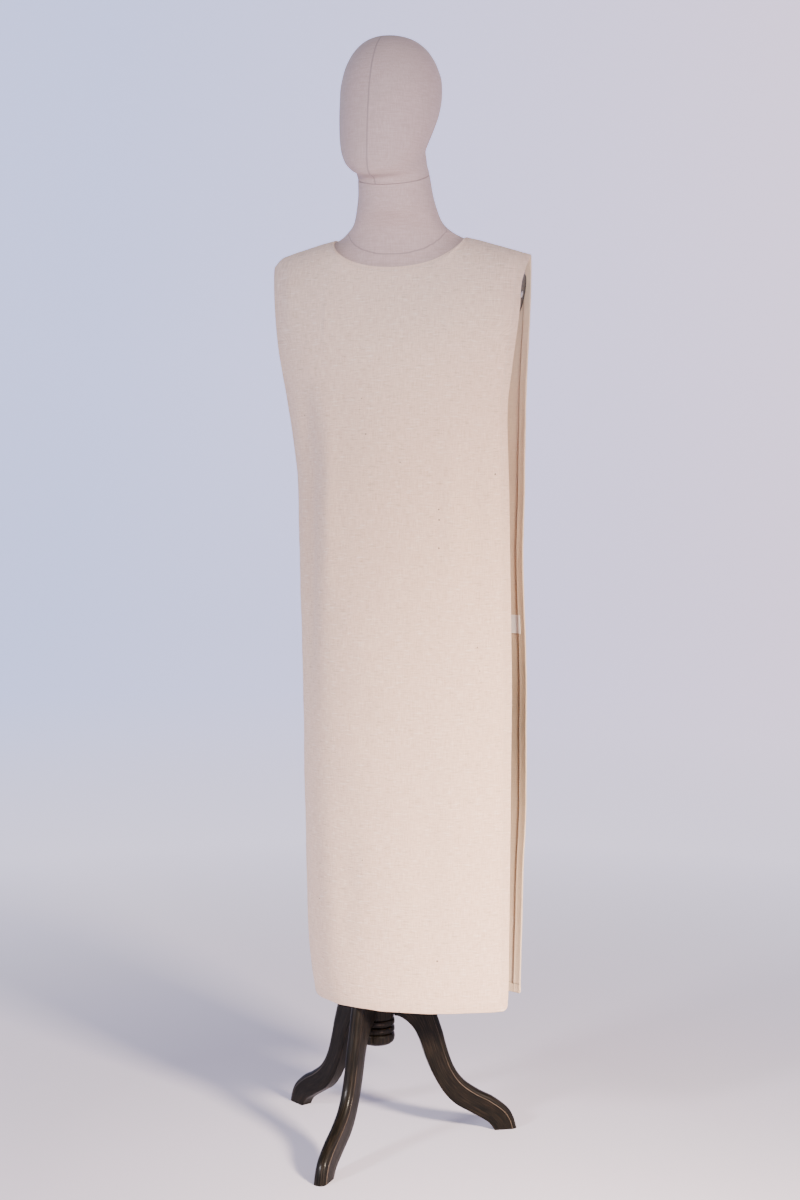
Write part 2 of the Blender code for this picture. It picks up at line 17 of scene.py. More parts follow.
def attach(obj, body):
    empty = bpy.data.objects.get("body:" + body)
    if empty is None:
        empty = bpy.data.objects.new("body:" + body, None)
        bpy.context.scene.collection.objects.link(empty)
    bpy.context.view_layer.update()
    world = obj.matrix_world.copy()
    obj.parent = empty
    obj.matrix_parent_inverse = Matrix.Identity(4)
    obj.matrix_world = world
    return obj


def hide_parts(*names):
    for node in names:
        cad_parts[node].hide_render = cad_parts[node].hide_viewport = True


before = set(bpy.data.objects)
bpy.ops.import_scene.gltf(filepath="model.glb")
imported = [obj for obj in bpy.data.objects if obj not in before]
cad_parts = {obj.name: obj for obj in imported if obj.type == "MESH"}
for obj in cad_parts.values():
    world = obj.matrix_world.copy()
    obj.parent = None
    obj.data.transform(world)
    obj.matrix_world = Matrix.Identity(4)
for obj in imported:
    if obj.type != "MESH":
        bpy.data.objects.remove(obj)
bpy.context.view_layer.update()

# ------------------------------------------------------------------------------------------------
# The studio. A seamless pale paper sweep lies under the object and rises all round it; two soft
# boxes stand in front, left and right, aimed low, and a third lights the head. It isn't the object.


def paint(hex_colour):
    """An sRGB hex colour as the linear values that a socket takes."""
    shares = [int(hex_colour[place:place + 2], 16) / 255 for place in (1, 3, 5)]
    return (*[s / 12.92 if s <= 0.04045 else ((s + 0.055) / 1.055) ** 2.4 for s in shares], 1.0)


def fill(tree, made, sockets):
    """Give a node's sockets their values, their hex colours or the outputs of other nodes."""
    for key, value in sockets.items():
        socket = made.inputs[key] if isinstance(key, int) else next(
            each for each in made.inputs if each.enabled and each.name == key)
        if isinstance(value, bpy.types.Node):
            value = next(each for each in value.outputs if each.enabled)
        if isinstance(value, bpy.types.NodeSocket):
            tree.links.new(value, socket)
        else:
            is_colour = isinstance(value, str) and value.startswith("#")
            socket.default_value = paint(value) if is_colour else value


def node(tree, kind, sockets=None, **settings):
    """Add a node, set its fields and fill its sockets."""
    made = tree.nodes.new(kind)
    for field, value in settings.items():
        setattr(made, field, value)
    fill(tree, made, sockets or {})
    return made


def new_material(name, **surface):
    """A Principled material, what adds a node to it, and what fills its shader's sockets."""
    material = bpy.data.materials.new(name)
    material.use_nodes = True
    tree = material.node_tree
    give = partial(fill, tree, tree.nodes["Principled BSDF"])
    give({socket.replace("_", " "): value for socket, value in surface.items()})
    return material, partial(node, tree), give


def put_in_scene(name, data):
    """An object of this data, linked to the scene."""
    made = bpy.data.objects.new(name, data)
    bpy.context.scene.collection.objects.link(made)
    return made


def make_mesh(name, points, faces, material, smooth_angle=40, origin=(0, 0, 0)):
    """A mesh object that stands at the origin, with its place in its points."""
    mesh = bpy.data.meshes.new(name)
    mesh.from_pydata([tuple(Vector(point) + Vector(origin)) for point in points], [], faces)
    mesh.materials.append(material)
    mesh.shade_smooth()
    mesh.set_sharp_from_angle(angle=radians(smooth_angle))
    return put_in_scene(name, mesh)


def around(sides):
    """The cosine and sine of every corner of a circle that is drawn with this many sides."""
    return [(cos(2 * pi * k / sides), sin(2 * pi * k / sides)) for k in range(sides)]


def band(rings, sides):
    """The quads that join neighbours in a stack of rings, anticlockwise seen from outside."""
    return [[i * sides + k, i * sides + (k + 1) % sides, (i + 1) * sides + (k + 1) % sides,
             (i + 1) * sides + k] for i in range(rings - 1) for k in range(sides)]


def make_studio():
    # Matte background paper: no gloss, and a colour that hardly changes. It glows faintly in place
    # of the background lights, more so far from the object than under it.
    paper, add, give = new_material("matte background paper", Roughness=0.95)
    place = add("ShaderNodeTexCoord").outputs["Object"]
    away = add("ShaderNodeVectorMath", {0: place}, operation="LENGTH")
    x, y, _z = add("ShaderNodeSeparateXYZ", {0: place}).outputs
    glow, right, behind, wall, far = [
        add("ShaderNodeMapRange", {"Value": value, "From Min": start, "From Max": end,
                                   "To Min": low, "To Max": high})
        for value, start, end, low, high in (
            (away, 0.6, 2.6, 0.20, 1.36), (x, -3.2, 1.0, 0.94, 1.06), (y, -4.0, -1.5, 0.40, 1.0),
            (x, -3.2, 1.0, 0.0, 1.0), (away, 1.2, 6.0, 0.0, 1.0))]
    lit = add("ShaderNodeMath", {0: glow, 1: right}, operation="MULTIPLY")
    shown = add("ShaderNodeMath", {0: lit, 1: behind}, operation="MULTIPLY")
    walls = add("ShaderNodeMix", {"Factor": wall, "A": "#bcccff", "B": "#e6d2e4"}, data_type="RGBA")
    cast = add("ShaderNodeMix", {"Factor": far, "A": "#dcd6e4", "B": walls}, data_type="RGBA")
    cloud = add("ShaderNodeTexNoise", {"Vector": place, "Scale": 0.35, "Detail": 1.0})
    tint = add("ShaderNodeMix", {"Factor": cloud, "A": "#bcbaca", "B": "#c4bcc6"}, data_type="RGBA")
    give({"Base Color": tint, "Emission Color": cast, "Emission Strength": shown})
    profile = [(3.0, 0.0), (5.0, 0.0), (6.0, 0.06), (6.8, 0.35), (7.4, 0.95), (7.7, 1.8), (7.8, 3.0),
               (7.8, 4.6)]
    sides = 96
    points = [(radius * c, radius * s, z) for radius, z in profile for c, s in around(sides)]
    faces = [list(range(sides))] + [quad[::-1] for quad in band(len(profile), sides)]
    make_mesh("studio_floor", points, faces, paper, 60)

    world = bpy.data.worlds.new("studio ceiling")
    bpy.context.scene.world = world
    world.use_nodes = True
    sky = world.node_tree.nodes["Background"]
    fill(world.node_tree, sky, {"Color": "#d4e0f8", "Strength": 0.22})
    SoftBox = namedtuple("SoftBox", "name x y z size aim_z spread watts colour")
    for box in (SoftBox("soft_box_left", -1.6, -2.2, 1.60, 0.4, -0.15, 70, 13.5, "#f6f0f4"),
                SoftBox("soft_box_right", 1.9, -1.6, 1.55, 0.4, -0.22, 68, 46, "#ffead6"),
                SoftBox("soft_box_head", 0.6, -2.1, 1.85, 0.6, 1.64, 20, 1.8, "#e6e8fa")):
        light = bpy.data.lights.new(box.name, "AREA")
        light.shape = "SQUARE"
        light.size = box.size
        light.spread = radians(box.spread)
        light.energy = box.watts
        light.color = paint(box.colour)[:3]
        stand = put_in_scene(box.name, light)
        stand.location = (box.x, box.y, box.z)
        aim = Vector((0, 0, box.aim_z)) - stand.location
        stand.rotation_euler = aim.to_track_quat("-Z", "Y").to_euler()


def make_camera():
    # A short telephoto at breast height, a little to the wearer's left, looking slightly down.
    lens = bpy.data.cameras.new("camera")
    lens.lens = 56.234
    lens.sensor_width = 36.0
    camera = put_in_scene("camera", lens)
    camera.location = (0.67371, -3.03669, 1.15047)
    camera.rotation_euler = (radians(90 - 4.0640), 0, radians(12.2051))
    bpy.context.scene.camera = camera


make_studio()
make_camera()

# ------------------------------------------------------------------------------------------------
# The stand's column and finial. Both are turned from beech on a lathe, stained black-brown and
# lacquered; the column plugs into the form's wooden base and the finial closes it below the legs.

# The tailor's line under the shoulder seams, which the form and the cloth are measured from.
FORM_ORIGIN = Vector((0.009826, 0.041259, 0))
POLE = FORM_ORIGIN + Vector((-0.0425, 0.0011, 0))
GRAIN_RADIUS = 0.028        # the grain is spaced as on a bar of this size
Turning = namedtuple("Turning", "radius z worn")
COLUMN_PROFILE = [Turning(*row) for row in (
    (0.0448, 0.7993, 0.6), (0.0450, 0.7985, 0.8), (0.0450, 0.7928, 0.8),
    (0.0440, 0.7918, 0.5), (0.0300, 0.7890, 0.1), (0.0185, 0.7855, 0.0),
    (0.0150, 0.7700, 0.0), (0.0150, 0.6500, 0.2), (0.0150, 0.5200, 0.1),
    (0.0190, 0.4900, 0.2), (0.0230, 0.4500, 0.4), (0.0240, 0.4200, 0.6),
    (0.0190, 0.3850, 0.1), (0.0170, 0.3660, 0.0), (0.0190, 0.3600, 0.0),
    (0.0240, 0.3575, 0.5), (0.0250, 0.3550, 0.9), (0.0250, 0.3480, 0.9),
    (0.0243, 0.3460, 0.2), (0.0262, 0.3430, 0.1), (0.0285, 0.3405, 0.6),
    (0.0290, 0.3385, 0.7), (0.0290, 0.2700, 0.1), (0.0290, 0.2095, 0.1),
)]
# Three rounded rings with tight grooves between them, and a shallow bowl below.
FINIAL_PROFILE = [Turning(*row) for row in (
    (0.0270, 0.2086, 0.0), (0.0291, 0.2078, 0.2), (0.0302, 0.2062, 0.6),
    (0.0305, 0.2030, 0.8), (0.0302, 0.1998, 0.5), (0.0291, 0.1980, 0.1),
    (0.0268, 0.1966, 0.0), (0.0291, 0.1952, 0.1), (0.0302, 0.1936, 0.6),
    (0.0305, 0.1905, 0.8), (0.0302, 0.1876, 0.5), (0.0291, 0.1860, 0.1),
    (0.0268, 0.1846, 0.0), (0.0291, 0.1832, 0.1), (0.0302, 0.1816, 0.5),
    (0.0307, 0.1775, 0.7), (0.0304, 0.1735, 0.4), (0.0286, 0.1690, 0.1),
    (0.0240, 0.1651, 0.0), (0.0150, 0.1629, 0.0),
)]


def smooth_row(table, key, at):
    """A row of the table at any key value: monotone cubics through the given rows."""
    rows = sorted(table, key=lambda row: getattr(row, key))
    keys = np.array([getattr(row, key) for row in rows])
    values = np.array(rows, dtype=float)
    slopes = np.diff(values, axis=0) / np.diff(keys)[:, None]
    tangents = np.zeros_like(values)
    tangents[0], tangents[-1] = slopes[0], slopes[-1]
    same_way = slopes[:-1] * slopes[1:] > 0
    with np.errstate(divide="ignore", invalid="ignore"):
        mean = 2 * slopes[:-1] * slopes[1:] / (slopes[:-1] + slopes[1:])
    tangents[1:-1] = np.where(same_way, mean, 0.0)
    at = min(max(at, keys[0]), keys[-1])
    i = min(int(np.searchsorted(keys, at, side="right")) - 1, len(keys) - 2)
    gap = keys[i + 1] - keys[i]
    t = (at - keys[i]) / gap
    row = (values[i] * (1 + 2 * t) * (1 - t) ** 2 + values[i + 1] * t * t * (3 - 2 * t)
           + gap * tangents[i] * t * (1 - t) ** 2 - gap * tangents[i + 1] * t * t * (1 - t))
    return type(table[0])(*row)


def mark(piece, name, values):
    """Keep a value at every point of a piece, for its material to read."""
    piece.data.attributes.new(name, "FLOAT", "POINT").data.foreach_set("value", values)


def stand_for(piece, node_name):
    """Put a piece in the place of a solid, on the one body that there is."""
    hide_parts(node_name)
    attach(piece, "root")
    return piece


def streaks(add, place, stretch, detail, roughness=0.5, shift=(0, 0, 0)):
    """Noise drawn out into grain or threads, as many to the metre as stretch says each way."""
    drawn = add("ShaderNodeMapping", {"Vector": place, "Location": shift, "Scale": stretch})
    return add("ShaderNodeTexNoise", {"Vector": drawn, "Scale": 1.0, "Detail": detail,
                                      "Roughness": roughness})


def make_stained_wood():
    # Beech, turned or sawn, stained black-brown and lacquered: nearly black, a satin gloss, fine
    # dark grain lines 1 to 2 mm apart along the piece, and edges rubbed through to a lighter brown.
    wood, add, give = new_material("black-brown stained beech, satin lacquer", IOR=1.5,
                                   Specular_IOR_Level=0.07, Coat_Weight=0.08, Coat_Roughness=0.18,
                                   Coat_Tint="#d9bba5")
    uv = add("ShaderNodeUVMap", uv_map="grain").outputs["UV"]
    grain = streaks(add, uv, (900.0, 26.0, 1.0), 4.0, 0.6)
    patch = streaks(add, uv, (60.0, 14.0, 1.0), 3.0)
    streak = add("ShaderNodeMapRange", {"Value": grain, "From Min": 0.46, "From Max": 0.66})
    stain = add("ShaderNodeMix", {"Factor": streak, "A": "#0a0a08", "B": "#261f18"}, data_type="RGBA")
    worn = add("ShaderNodeAttribute", attribute_name="worn").outputs["Fac"]
    rubbed = add("ShaderNodeMath", {0: worn, 1: patch}, operation="MULTIPLY")
    rub = add("ShaderNodeMapRange", {"Value": rubbed, "From Min": 0.36, "From Max": 0.58, "To Max": 0.50})
    body = add("ShaderNodeMix", {"Factor": rub, "A": stain, "B": "#75675a"}, data_type="RGBA")
    gloss = add("ShaderNodeMapRange", {"Value": patch, "To Min": 0.34, "To Max": 0.52})
    relief = add("ShaderNodeBump", {"Height": grain, "Strength": 0.25, "Distance": 0.0004})
    give({"Base Color": body, "Roughness": gloss, "Normal": relief})
    return wood


stained_wood = make_stained_wood()


def make_turned(name, profile, node_name, sides=72, cuts=4):
    """Spin a profile about the pole, closed at both ends, with the grain running down it."""
    zs = [z for above, below in zip(profile, profile[1:])
          for z in np.linspace(above.z, below.z, cuts, endpoint=False)]
    rows = [smooth_row(profile, "z", z) for z in zs + [profile[-1].z]]
    points = [(row.radius * c, row.radius * s, row.z) for row in rows for c, s in around(sides)]
    last, top, low = len(points) - sides, len(points), len(points) + 1
    points += [(0, 0, rows[0].z + 0.0002), (0, 0, rows[-1].z - 0.0005)]
    faces = [[top, k, (k + 1) % sides] for k in range(sides)]
    faces += [quad[::-1] for quad in band(len(rows), sides)]
    faces += [[low, last + (k + 1) % sides, last + k] for k in range(sides)]
    piece = make_mesh(name, points, faces, stained_wood, 50, POLE)
    grain = piece.data.uv_layers.new(name="grain")
    for polygon in piece.data.polygons:
        turns = [(vertex % sides) / sides if vertex < top else 0.5 for vertex in polygon.vertices]
        wraps = max(turns) - min(turns) > 0.5
        for loop, vertex, turn in zip(polygon.loop_indices, polygon.vertices, turns):
            turn = turn + 1 if wraps and turn < 0.5 else turn
            grain.data[loop].uv = (turn * 2 * pi * GRAIN_RADIUS, points[vertex][2])
    mark(piece, "worn", [row.worn for row in rows for _side in range(sides)] + [0.0, 0.0])
    stand_for(piece, node_name)


make_turned("turned_column", COLUMN_PROFILE, "stand_column")
make_turned("ringed_finial", FINIAL_PROFILE, "stand_finial")

# ------------------------------------------------------------------------------------------------
# The three legs. S-curved boards band-sawn from 22 mm beech, the outer edge rounded over with a
# small step beside it, let into the column's hub a little unevenly, stained and lacquered.

LegStation = namedtuple("LegStation", "outer_r outer_z inner_r inner_z")
LEG_STATIONS = [LegStation(*row) for row in (
    (0.0293, 0.325, 0.0293, 0.212),
    (0.0580, 0.312, 0.0350, 0.211),
    (0.0790, 0.284, 0.0430, 0.207),
    (0.0940, 0.248, 0.0550, 0.197),
    (0.1045, 0.210, 0.0670, 0.181),
    (0.1145, 0.179, 0.0765, 0.160),
    (0.1225, 0.149, 0.0855, 0.133),
    (0.1345, 0.116, 0.0990, 0.101),
    (0.1530, 0.090, 0.1160, 0.072),
    (0.1810, 0.070, 0.1360, 0.051),
    (0.2050, 0.057, 0.1620, 0.035),
    (0.2300, 0.037, 0.1900, 0.018),
    (0.2410, 0.019, 0.2005, 0.008),
    (0.2465, 0.000, 0.2055, 0.000),
)]
# The board's section, from the outer edge to the inner one: side is a share of half its thickness.
LegCorner = namedtuple("LegCorner", "along side worn")
LEG_SECTION = [LegCorner(*row) for row in (
    (0.000, 0.20, 0.6), (0.010, 0.40, 0.7), (0.032, 0.58, 0.6),
    (0.066, 0.73, 0.5), (0.110, 0.84, 0.3), (0.160, 0.91, 0.3),
    (0.190, 0.93, 0.1), (0.198, 0.97, 1.2), (0.215, 1.00, 1.3),
    (0.232, 1.00, 0.2), (0.450, 1.00, 0.1), (0.700, 1.00, 0.1),
    (0.960, 1.00, 0.1), (0.980, 0.96, 0.8), (1.000, 0.84, 0.6),
    (1.000, 0.40, 0.2),
)]
LEG_HALF_THICKNESS = 0.0110
LEG_DEPTH = 0.05            # the board's mean depth, which the grain is spaced by
WORN_AT_HUB = 0.4           # edges are rubbed less there than at the foot


def through(points, cuts):
    """A smooth line through the given points, with this many steps between two of them."""
    padded = np.vstack([2 * points[0] - points[1], points, 2 * points[-1] - points[-2]])
    line = []
    for i in range(1, len(padded) - 2):
        before, start, end, after = padded[i - 1:i + 3]
        for t in np.linspace(0, 1, cuts, endpoint=False):
            line.append(0.5 * (2 * start + (end - before) * t
                               + (2 * before - 5 * start + 4 * end - after) * t ** 2
                               + (3 * start - before - 3 * end + after) * t ** 3))
    return np.array(line + [padded[-2]])


def make_leg(name, turn_degrees, node_name):
    """Loft the section along the leg's stations and stand it in its place round the hub."""
    stations = through(np.array(LEG_STATIONS, dtype=float), 6)
    stations[-1] = LEG_STATIONS[-1]
    middles = (stations[:, :2] + stations[:, 2:]) / 2
    along = np.concatenate([[0], np.cumsum(np.linalg.norm(np.diff(middles, axis=0), axis=1))])
    loop = [(corner, 1) for corner in LEG_SECTION] + [(corner, -1) for corner in LEG_SECTION[::-1]]
    swing = Matrix.Rotation(radians(turn_degrees), 3, "Z")
    points = []
    for outer_r, outer_z, inner_r, inner_z in stations:
        for corner, way in loop:
            r = outer_r + (inner_r - outer_r) * corner.along
            z = outer_z + (inner_z - outer_z) * corner.along
            points.append(swing @ Vector((way * corner.side * LEG_HALF_THICKNESS, -r, z)))
    count = len(loop)
    faces = [list(range(count)), [(len(stations) - 1) * count + k for k in range(count)][::-1]]
    faces += [[a, d, c, b] for a, b, c, d in band(len(stations), count)]
    piece = make_mesh(name, points, faces, stained_wood, 30, POLE)
    grain = piece.data.uv_layers.new(name="grain")
    for polygon in piece.data.polygons:
        for place, vertex in zip(polygon.loop_indices, polygon.vertices):
            corner, way = loop[vertex % count]
            across = way * (corner.along * LEG_DEPTH + corner.side * LEG_HALF_THICKNESS)
            grain.data[place].uv = (across + 0.3 * turn_degrees, along[vertex // count])
    mark(piece, "worn", [corner.worn * (WORN_AT_HUB + (1 - WORN_AT_HUB) * far / along[-1])
                         for far in along for corner, _way in loop])
    stand_for(piece, node_name)


for name, turn_degrees in (("front", -9.8), ("left", 112.6), ("right", -128.8)):
    make_leg(f"sawn_leg_{name}", turn_degrees, f"leg_{name}")

# ------------------------------------------------------------------------------------------------
# The dress form. A moulded hollow torso with neck and a separate egg-shaped head, both padded
# thinly and covered in natural linen, sewn up the middle of the face and round the neck's base.

FormRing = namedtuple("FormRing", "z middle_x half_width middle_y front back power tilt turn",
                      defaults=(2.0, 0, 0))
BODY_RINGS = [FormRing(*row) for row in (
    (0.800, -0.024, 0.118, 0.000, 0.060, 0.062, 2.2),
    (0.808, -0.024, 0.130, 0.000, 0.068, 0.072, 2.2),
    (0.850, -0.022, 0.140, -0.002, 0.080, 0.082, 2.2),
    (0.920, -0.018, 0.145, -0.006, 0.086, 0.088, 2.2),
    (1.000, -0.014, 0.143, -0.010, 0.087, 0.084, 2.2),
    (1.100, -0.009, 0.134, -0.014, 0.087, 0.076, 2.2),
    (1.190, -0.005, 0.146, -0.013, 0.095, 0.084, 2.2),
    (1.290, -0.001, 0.171, -0.010, 0.106, 0.091, 2.2),
    (1.3500, 0.000, 0.1940, -0.006, 0.101, 0.088, 2.3),
    (1.3950, 0.000, 0.2140, -0.002, 0.093, 0.081, 2.2),
    (1.4350, 0.000, 0.2240, 0.000, 0.084, 0.071, 2.1),
    (1.4700, 0.000, 0.2180, 0.000, 0.071, 0.060, 1.8),
    (1.4900, 0.000, 0.2040, -0.001, 0.067, 0.056, 1.5),
    (1.5050, 0.000, 0.1768, -0.001, 0.065, 0.054, 1.3),
    (1.5145, 0.000, 0.1446, -0.001, 0.064, 0.053, 1.2),
    (1.5240, 0.000, 0.1125, -0.001, 0.063, 0.053, 1.25),
    (1.5370, 0.000, 0.0870, -0.010, 0.064, 0.055, 2.0),
    (1.5510, 0.000, 0.0735, -0.021, 0.064, 0.058, 2.0),
    (1.5700, 0.000, 0.0665, -0.033, 0.063, 0.061, 2.0, 7),
    (1.5950, 0.000, 0.0610, -0.044, 0.0605, 0.0605, 2.0, 14),
    (1.6220, -0.001, 0.0585, -0.052, 0.059, 0.059, 2.0, 20),
)]
HEAD_RINGS = [FormRing(*row) for row in (
    (1.6224, -0.001, 0.0585, -0.052, 0.059, 0.059, 2.0, 20, 0),
    (1.6340, -0.003, 0.0580, -0.056, 0.060, 0.058, 2.0, 22, -3),
    (1.6440, -0.005, 0.0600, -0.059, 0.070, 0.058, 2.0, 25, -6),
    (1.6520, -0.007, 0.0615, -0.060, 0.078, 0.062, 2.0, 28, -9),
    (1.6640, -0.009, 0.0675, -0.059, 0.088, 0.070, 2.0, 28, -10),
    (1.6840, -0.010, 0.0745, -0.054, 0.097, 0.082, 2.0, 26, -10),
    (1.7100, -0.010, 0.0795, -0.046, 0.102, 0.092, 2.0, 22, -10),
    (1.7400, -0.0105, 0.0815, -0.039, 0.104, 0.098, 2.0, 18, -10),
    (1.7680, -0.0115, 0.0810, -0.035, 0.101, 0.094, 2.0, 14, -10),
    (1.7960, -0.0125, 0.0750, -0.034, 0.092, 0.083, 2.0, 10, -10),
    (1.8200, -0.0130, 0.0635, -0.034, 0.077, 0.068, 2.0, 7, -10),
    (1.8370, -0.0130, 0.0475, -0.034, 0.058, 0.050, 2.0, 4, -10),
    (1.8465, -0.0130, 0.0290, -0.034, 0.036, 0.030, 2.0, 2, -10),
    (1.8500, -0.0130, 0.0090, -0.034, 0.011, 0.009, 2.0, 0, -10),
)]
# The front of the neck's root, which fills the hollow between the throat and the shoulders.
NeckRoot = namedtuple("NeckRoot", "z half_width front")
NECK_ROOTS = [NeckRoot(*row) for row in (
    (1.4700, 0.080, 0.0600), (1.4900, 0.098, 0.0685), (1.5050, 0.103, 0.0690),
    (1.5145, 0.100, 0.0695), (1.5240, 0.095, 0.0710), (1.5370, 0.087, 0.0740),
)]
HEAD_PIVOT = Vector((-0.009, -0.052, 0))
HEAD_TURN = radians(10)
HEAD_SEAM_X = -0.0015
NECK_SEAM_Z = 1.5520
NECK_SEAM_DIP = 0.066       # how much lower it runs at the throat
ARM_CUT_X = 0.1990
ARM_CUT_LEAN = radians(11)
ARM_CUT_LOW_Z = 1.360
PLATE_MIDDLE = (0.002, 1.434)


def make_linen():
    # Plain-woven natural linen stretched over the form: matte, pinkish grey-beige, threads about
    # 0.7 mm apart drawn 1.6 mm apart so that they show, a little darker in clouds of age.
    linen, add, give = new_material("natural linen cover", Roughness=0.9, Sheen_Weight=0.15,
                                    Sheen_Roughness=0.5, Specular_IOR_Level=0.25)
    place = add("ShaderNodeTexCoord").outputs["Object"]
    weft = streaks(add, place, (55.0, 55.0, 620.0), 2.0)
    warp = streaks(add, place, (620.0, 620.0, 55.0), 2.0)
    weave = add("ShaderNodeMath", {0: weft, 1: warp}, operation="ADD")
    shade = add("ShaderNodeMapRange", {"Value": weave, "From Min": 0.75, "From Max": 1.25})
    cloth = add("ShaderNodeMix", {"Factor": shade, "A": "#ad9387", "B": "#bba196"}, data_type="RGBA")
    cloud = add("ShaderNodeTexNoise", {"Vector": place, "Scale": 14.0, "Detail": 3.0})
    aged = add("ShaderNodeMapRange", {"Value": cloud, "From Min": 0.45, "From Max": 0.75, "To Max": 0.35})
    # The sewn seam: a narrow valley where two covers meet, darker at its bottom, with the seam
    # allowance as a faint swelling up to 6 mm away on both sides.
    signed = add("ShaderNodeAttribute", attribute_name="from_seam").outputs["Fac"]
    seam = add("ShaderNodeMath", {0: signed}, operation="ABSOLUTE")
    valley = add("ShaderNodeMapRange", {"Value": seam, "From Min": 0.0003, "From Max": 0.0017,
                                        "To Min": 1.0, "To Max": 0.0})
    for layer, colour in ((aged, "#ac9789"), (valley, "#96827a")):
        cloth = add("ShaderNodeMix", {"Factor": layer, "A": cloth, "B": colour}, data_type="RGBA")
    swell = add("ShaderNodeMapRange", {"Value": seam, "From Min": 0.0015, "From Max": 0.0060,
                                       "To Min": 0.4, "To Max": 0.0}, interpolation_type="SMOOTHSTEP")
    threads = add("ShaderNodeMath", {0: weave, 1: 0.25}, operation="MULTIPLY")
    sunk = add("ShaderNodeMath", {0: swell, 1: valley}, operation="SUBTRACT")
    height = add("ShaderNodeMath", {0: threads, 1: sunk}, operation="ADD")
    relief = add("ShaderNodeBump", {"Height": height, "Strength": 0.6, "Distance": 0.0008})
    give({"Base Color": cloth, "Normal": relief})
    return linen


linen = make_linen()


def arm_cut_x(z):
    """How far out the flat where an arm would be lies at this height."""
    return ARM_CUT_X + tan(ARM_CUT_LEAN) * (max(z, ARM_CUT_LOW_Z) - PLATE_MIDDLE[1])


def neck_root_y(x, z):
    """The front of the neck's root at x and z, or 0 where it has none."""
    root = smooth_row(NECK_ROOTS, "z", z)
    if not NECK_ROOTS[0].z <= z <= NECK_ROOTS[-1].z or abs(x) >= root.half_width:
        return 0.0
    return -root.front * sqrt(1 - (x / root.half_width) ** 2)


def soften(over, softness):
    """0 well below 0, the value itself well above it, and a soft bend between."""
    return softness * np.logaddexp(0, over / softness)


def hump(values, middle, reach):
    """1 at the middle and a soft fall to 0 on both sides of it."""
    return np.exp(-((values - middle) / reach) ** 2)


def ring_points(ring, turns, inset=0.0, on_body=False):
    """One ring of the form, seen from above anticlockwise from its left side."""
    places = []
    for turn in turns:
        reach = ring.back if sin(turn) >= 0 else ring.front
        x = (ring.half_width - inset) * np.sign(cos(turn)) * abs(cos(turn)) ** (2 / ring.power)
        out = (reach - inset) * np.sign(sin(turn)) * abs(sin(turn)) ** (2 / ring.power)
        if on_body:
            x = min(max(x, -arm_cut_x(ring.z)), arm_cut_x(ring.z))
            if sin(turn) < 0 and ring.z < NECK_ROOTS[-1].z:
                bend = 0.00002 + 0.0030 * (1 - exp(out / 0.011))
                out -= soften(out + ring.middle_y - neck_root_y(x, ring.z), bend)
        places.append((x, out))
    xs, outs = np.array(places).T
    if on_body and NECK_ROOTS[0].z < ring.z < NECK_ROOTS[-1].z:
        # Padding fills the crease at each end of the neck's root.
        filled = hump(np.abs(xs), 0.090, 0.016) * (np.sin(turns) < -0.02)
        for _ in range(6):
            outs = outs + filled * ((np.roll(outs, 1) + np.roll(outs, -1)) / 2 - outs) * 0.8
    swing = Matrix.Rotation(radians(ring.turn), 3, "Z")
    tilt = radians(ring.tilt)
    points = []
    for x, out in zip(xs, outs):
        point = Vector((ring.middle_x + x, ring.middle_y + out * cos(tilt), ring.z + out * sin(tilt)))
        points.append(HEAD_PIVOT + swing @ (point - HEAD_PIVOT))
    return points


def make_covered(name, table, zs, eased, node_name, seam_distance, on_body=False):
    """Skin a stack of rings in linen: eased ends roll in by a millimetre where covers meet."""
    sides = 120
    turns = [2 * pi * k / sides for k in range(sides)]
    rings = [ring_points(smooth_row(table, "z", z), turns, 0.0, on_body) for z in zs]
    for place, way in ((0, 1), (-1, -1)):
        if place in eased:
            end = smooth_row(table, "z", zs[place])
            rings[place] = ring_points(end._replace(z=end.z + way * 0.0004), turns, 0.0003, on_body)
            rings.insert(0 if way > 0 else len(rings), ring_points(end, turns, 0.0014, on_body))
    middles = [sum(rings[0], Vector()) / sides, sum(rings[-1], Vector()) / sides]
    points = [point for ring in rings for point in ring] + middles
    last, low, top = len(points) - 2 - sides, len(points) - 2, len(points) - 1
    faces = [[low, (k + 1) % sides, k] for k in range(sides)]
    faces += [[top, last + k, last + (k + 1) % sides] for k in range(sides)]
    piece = make_mesh(name, points, faces + band(len(rings), sides), linen, 50, FORM_ORIGIN)
    mark(piece, "from_seam", [seam_distance(Vector(point)) for point in points])
    return stand_for(piece, node_name)


def from_body_seam(point):
    """Metres from the seam round the neck's base, which dips at the throat and is pulled flat."""
    dip = NECK_SEAM_DIP * max(0.0, -(point.y + 0.015) / 0.064)
    above = point.z - (NECK_SEAM_Z - dip)
    return max(abs(above), 0.0013) * (1 if above > 0 else -1)


def from_head_seam(point):
    """Metres from the seam up the middle of the turned head, front and back."""
    return (Matrix.Rotation(HEAD_TURN, 3, "Z") @ (point - HEAD_PIVOT)).x - HEAD_SEAM_X


body_zs = [*np.linspace(0.800, 0.850, 12), *np.linspace(0.856, 1.460, 84), *np.linspace(1.466, 1.6220, 44)]
head_zs = [*np.linspace(1.6224, 1.82, 54)]
head_zs += [HEAD_RINGS[-1].z - 0.030 * (1 - t) ** 1.6 for t in np.linspace(0.06, 1, 18)]
linen_body = make_covered("linen_body", BODY_RINGS, body_zs, (0, -1), "form_body", from_body_seam, True)
make_covered("linen_head", HEAD_RINGS, head_zs, (0,), "form_head", from_head_seam)

# ------------------------------------------------------------------------------------------------
# The shoulder plates and their screws. Where an arm could be fixed, a round black-lacquered metal
# plate with a bright turned rim closes the flat, held by one slotted steel screw in its middle.

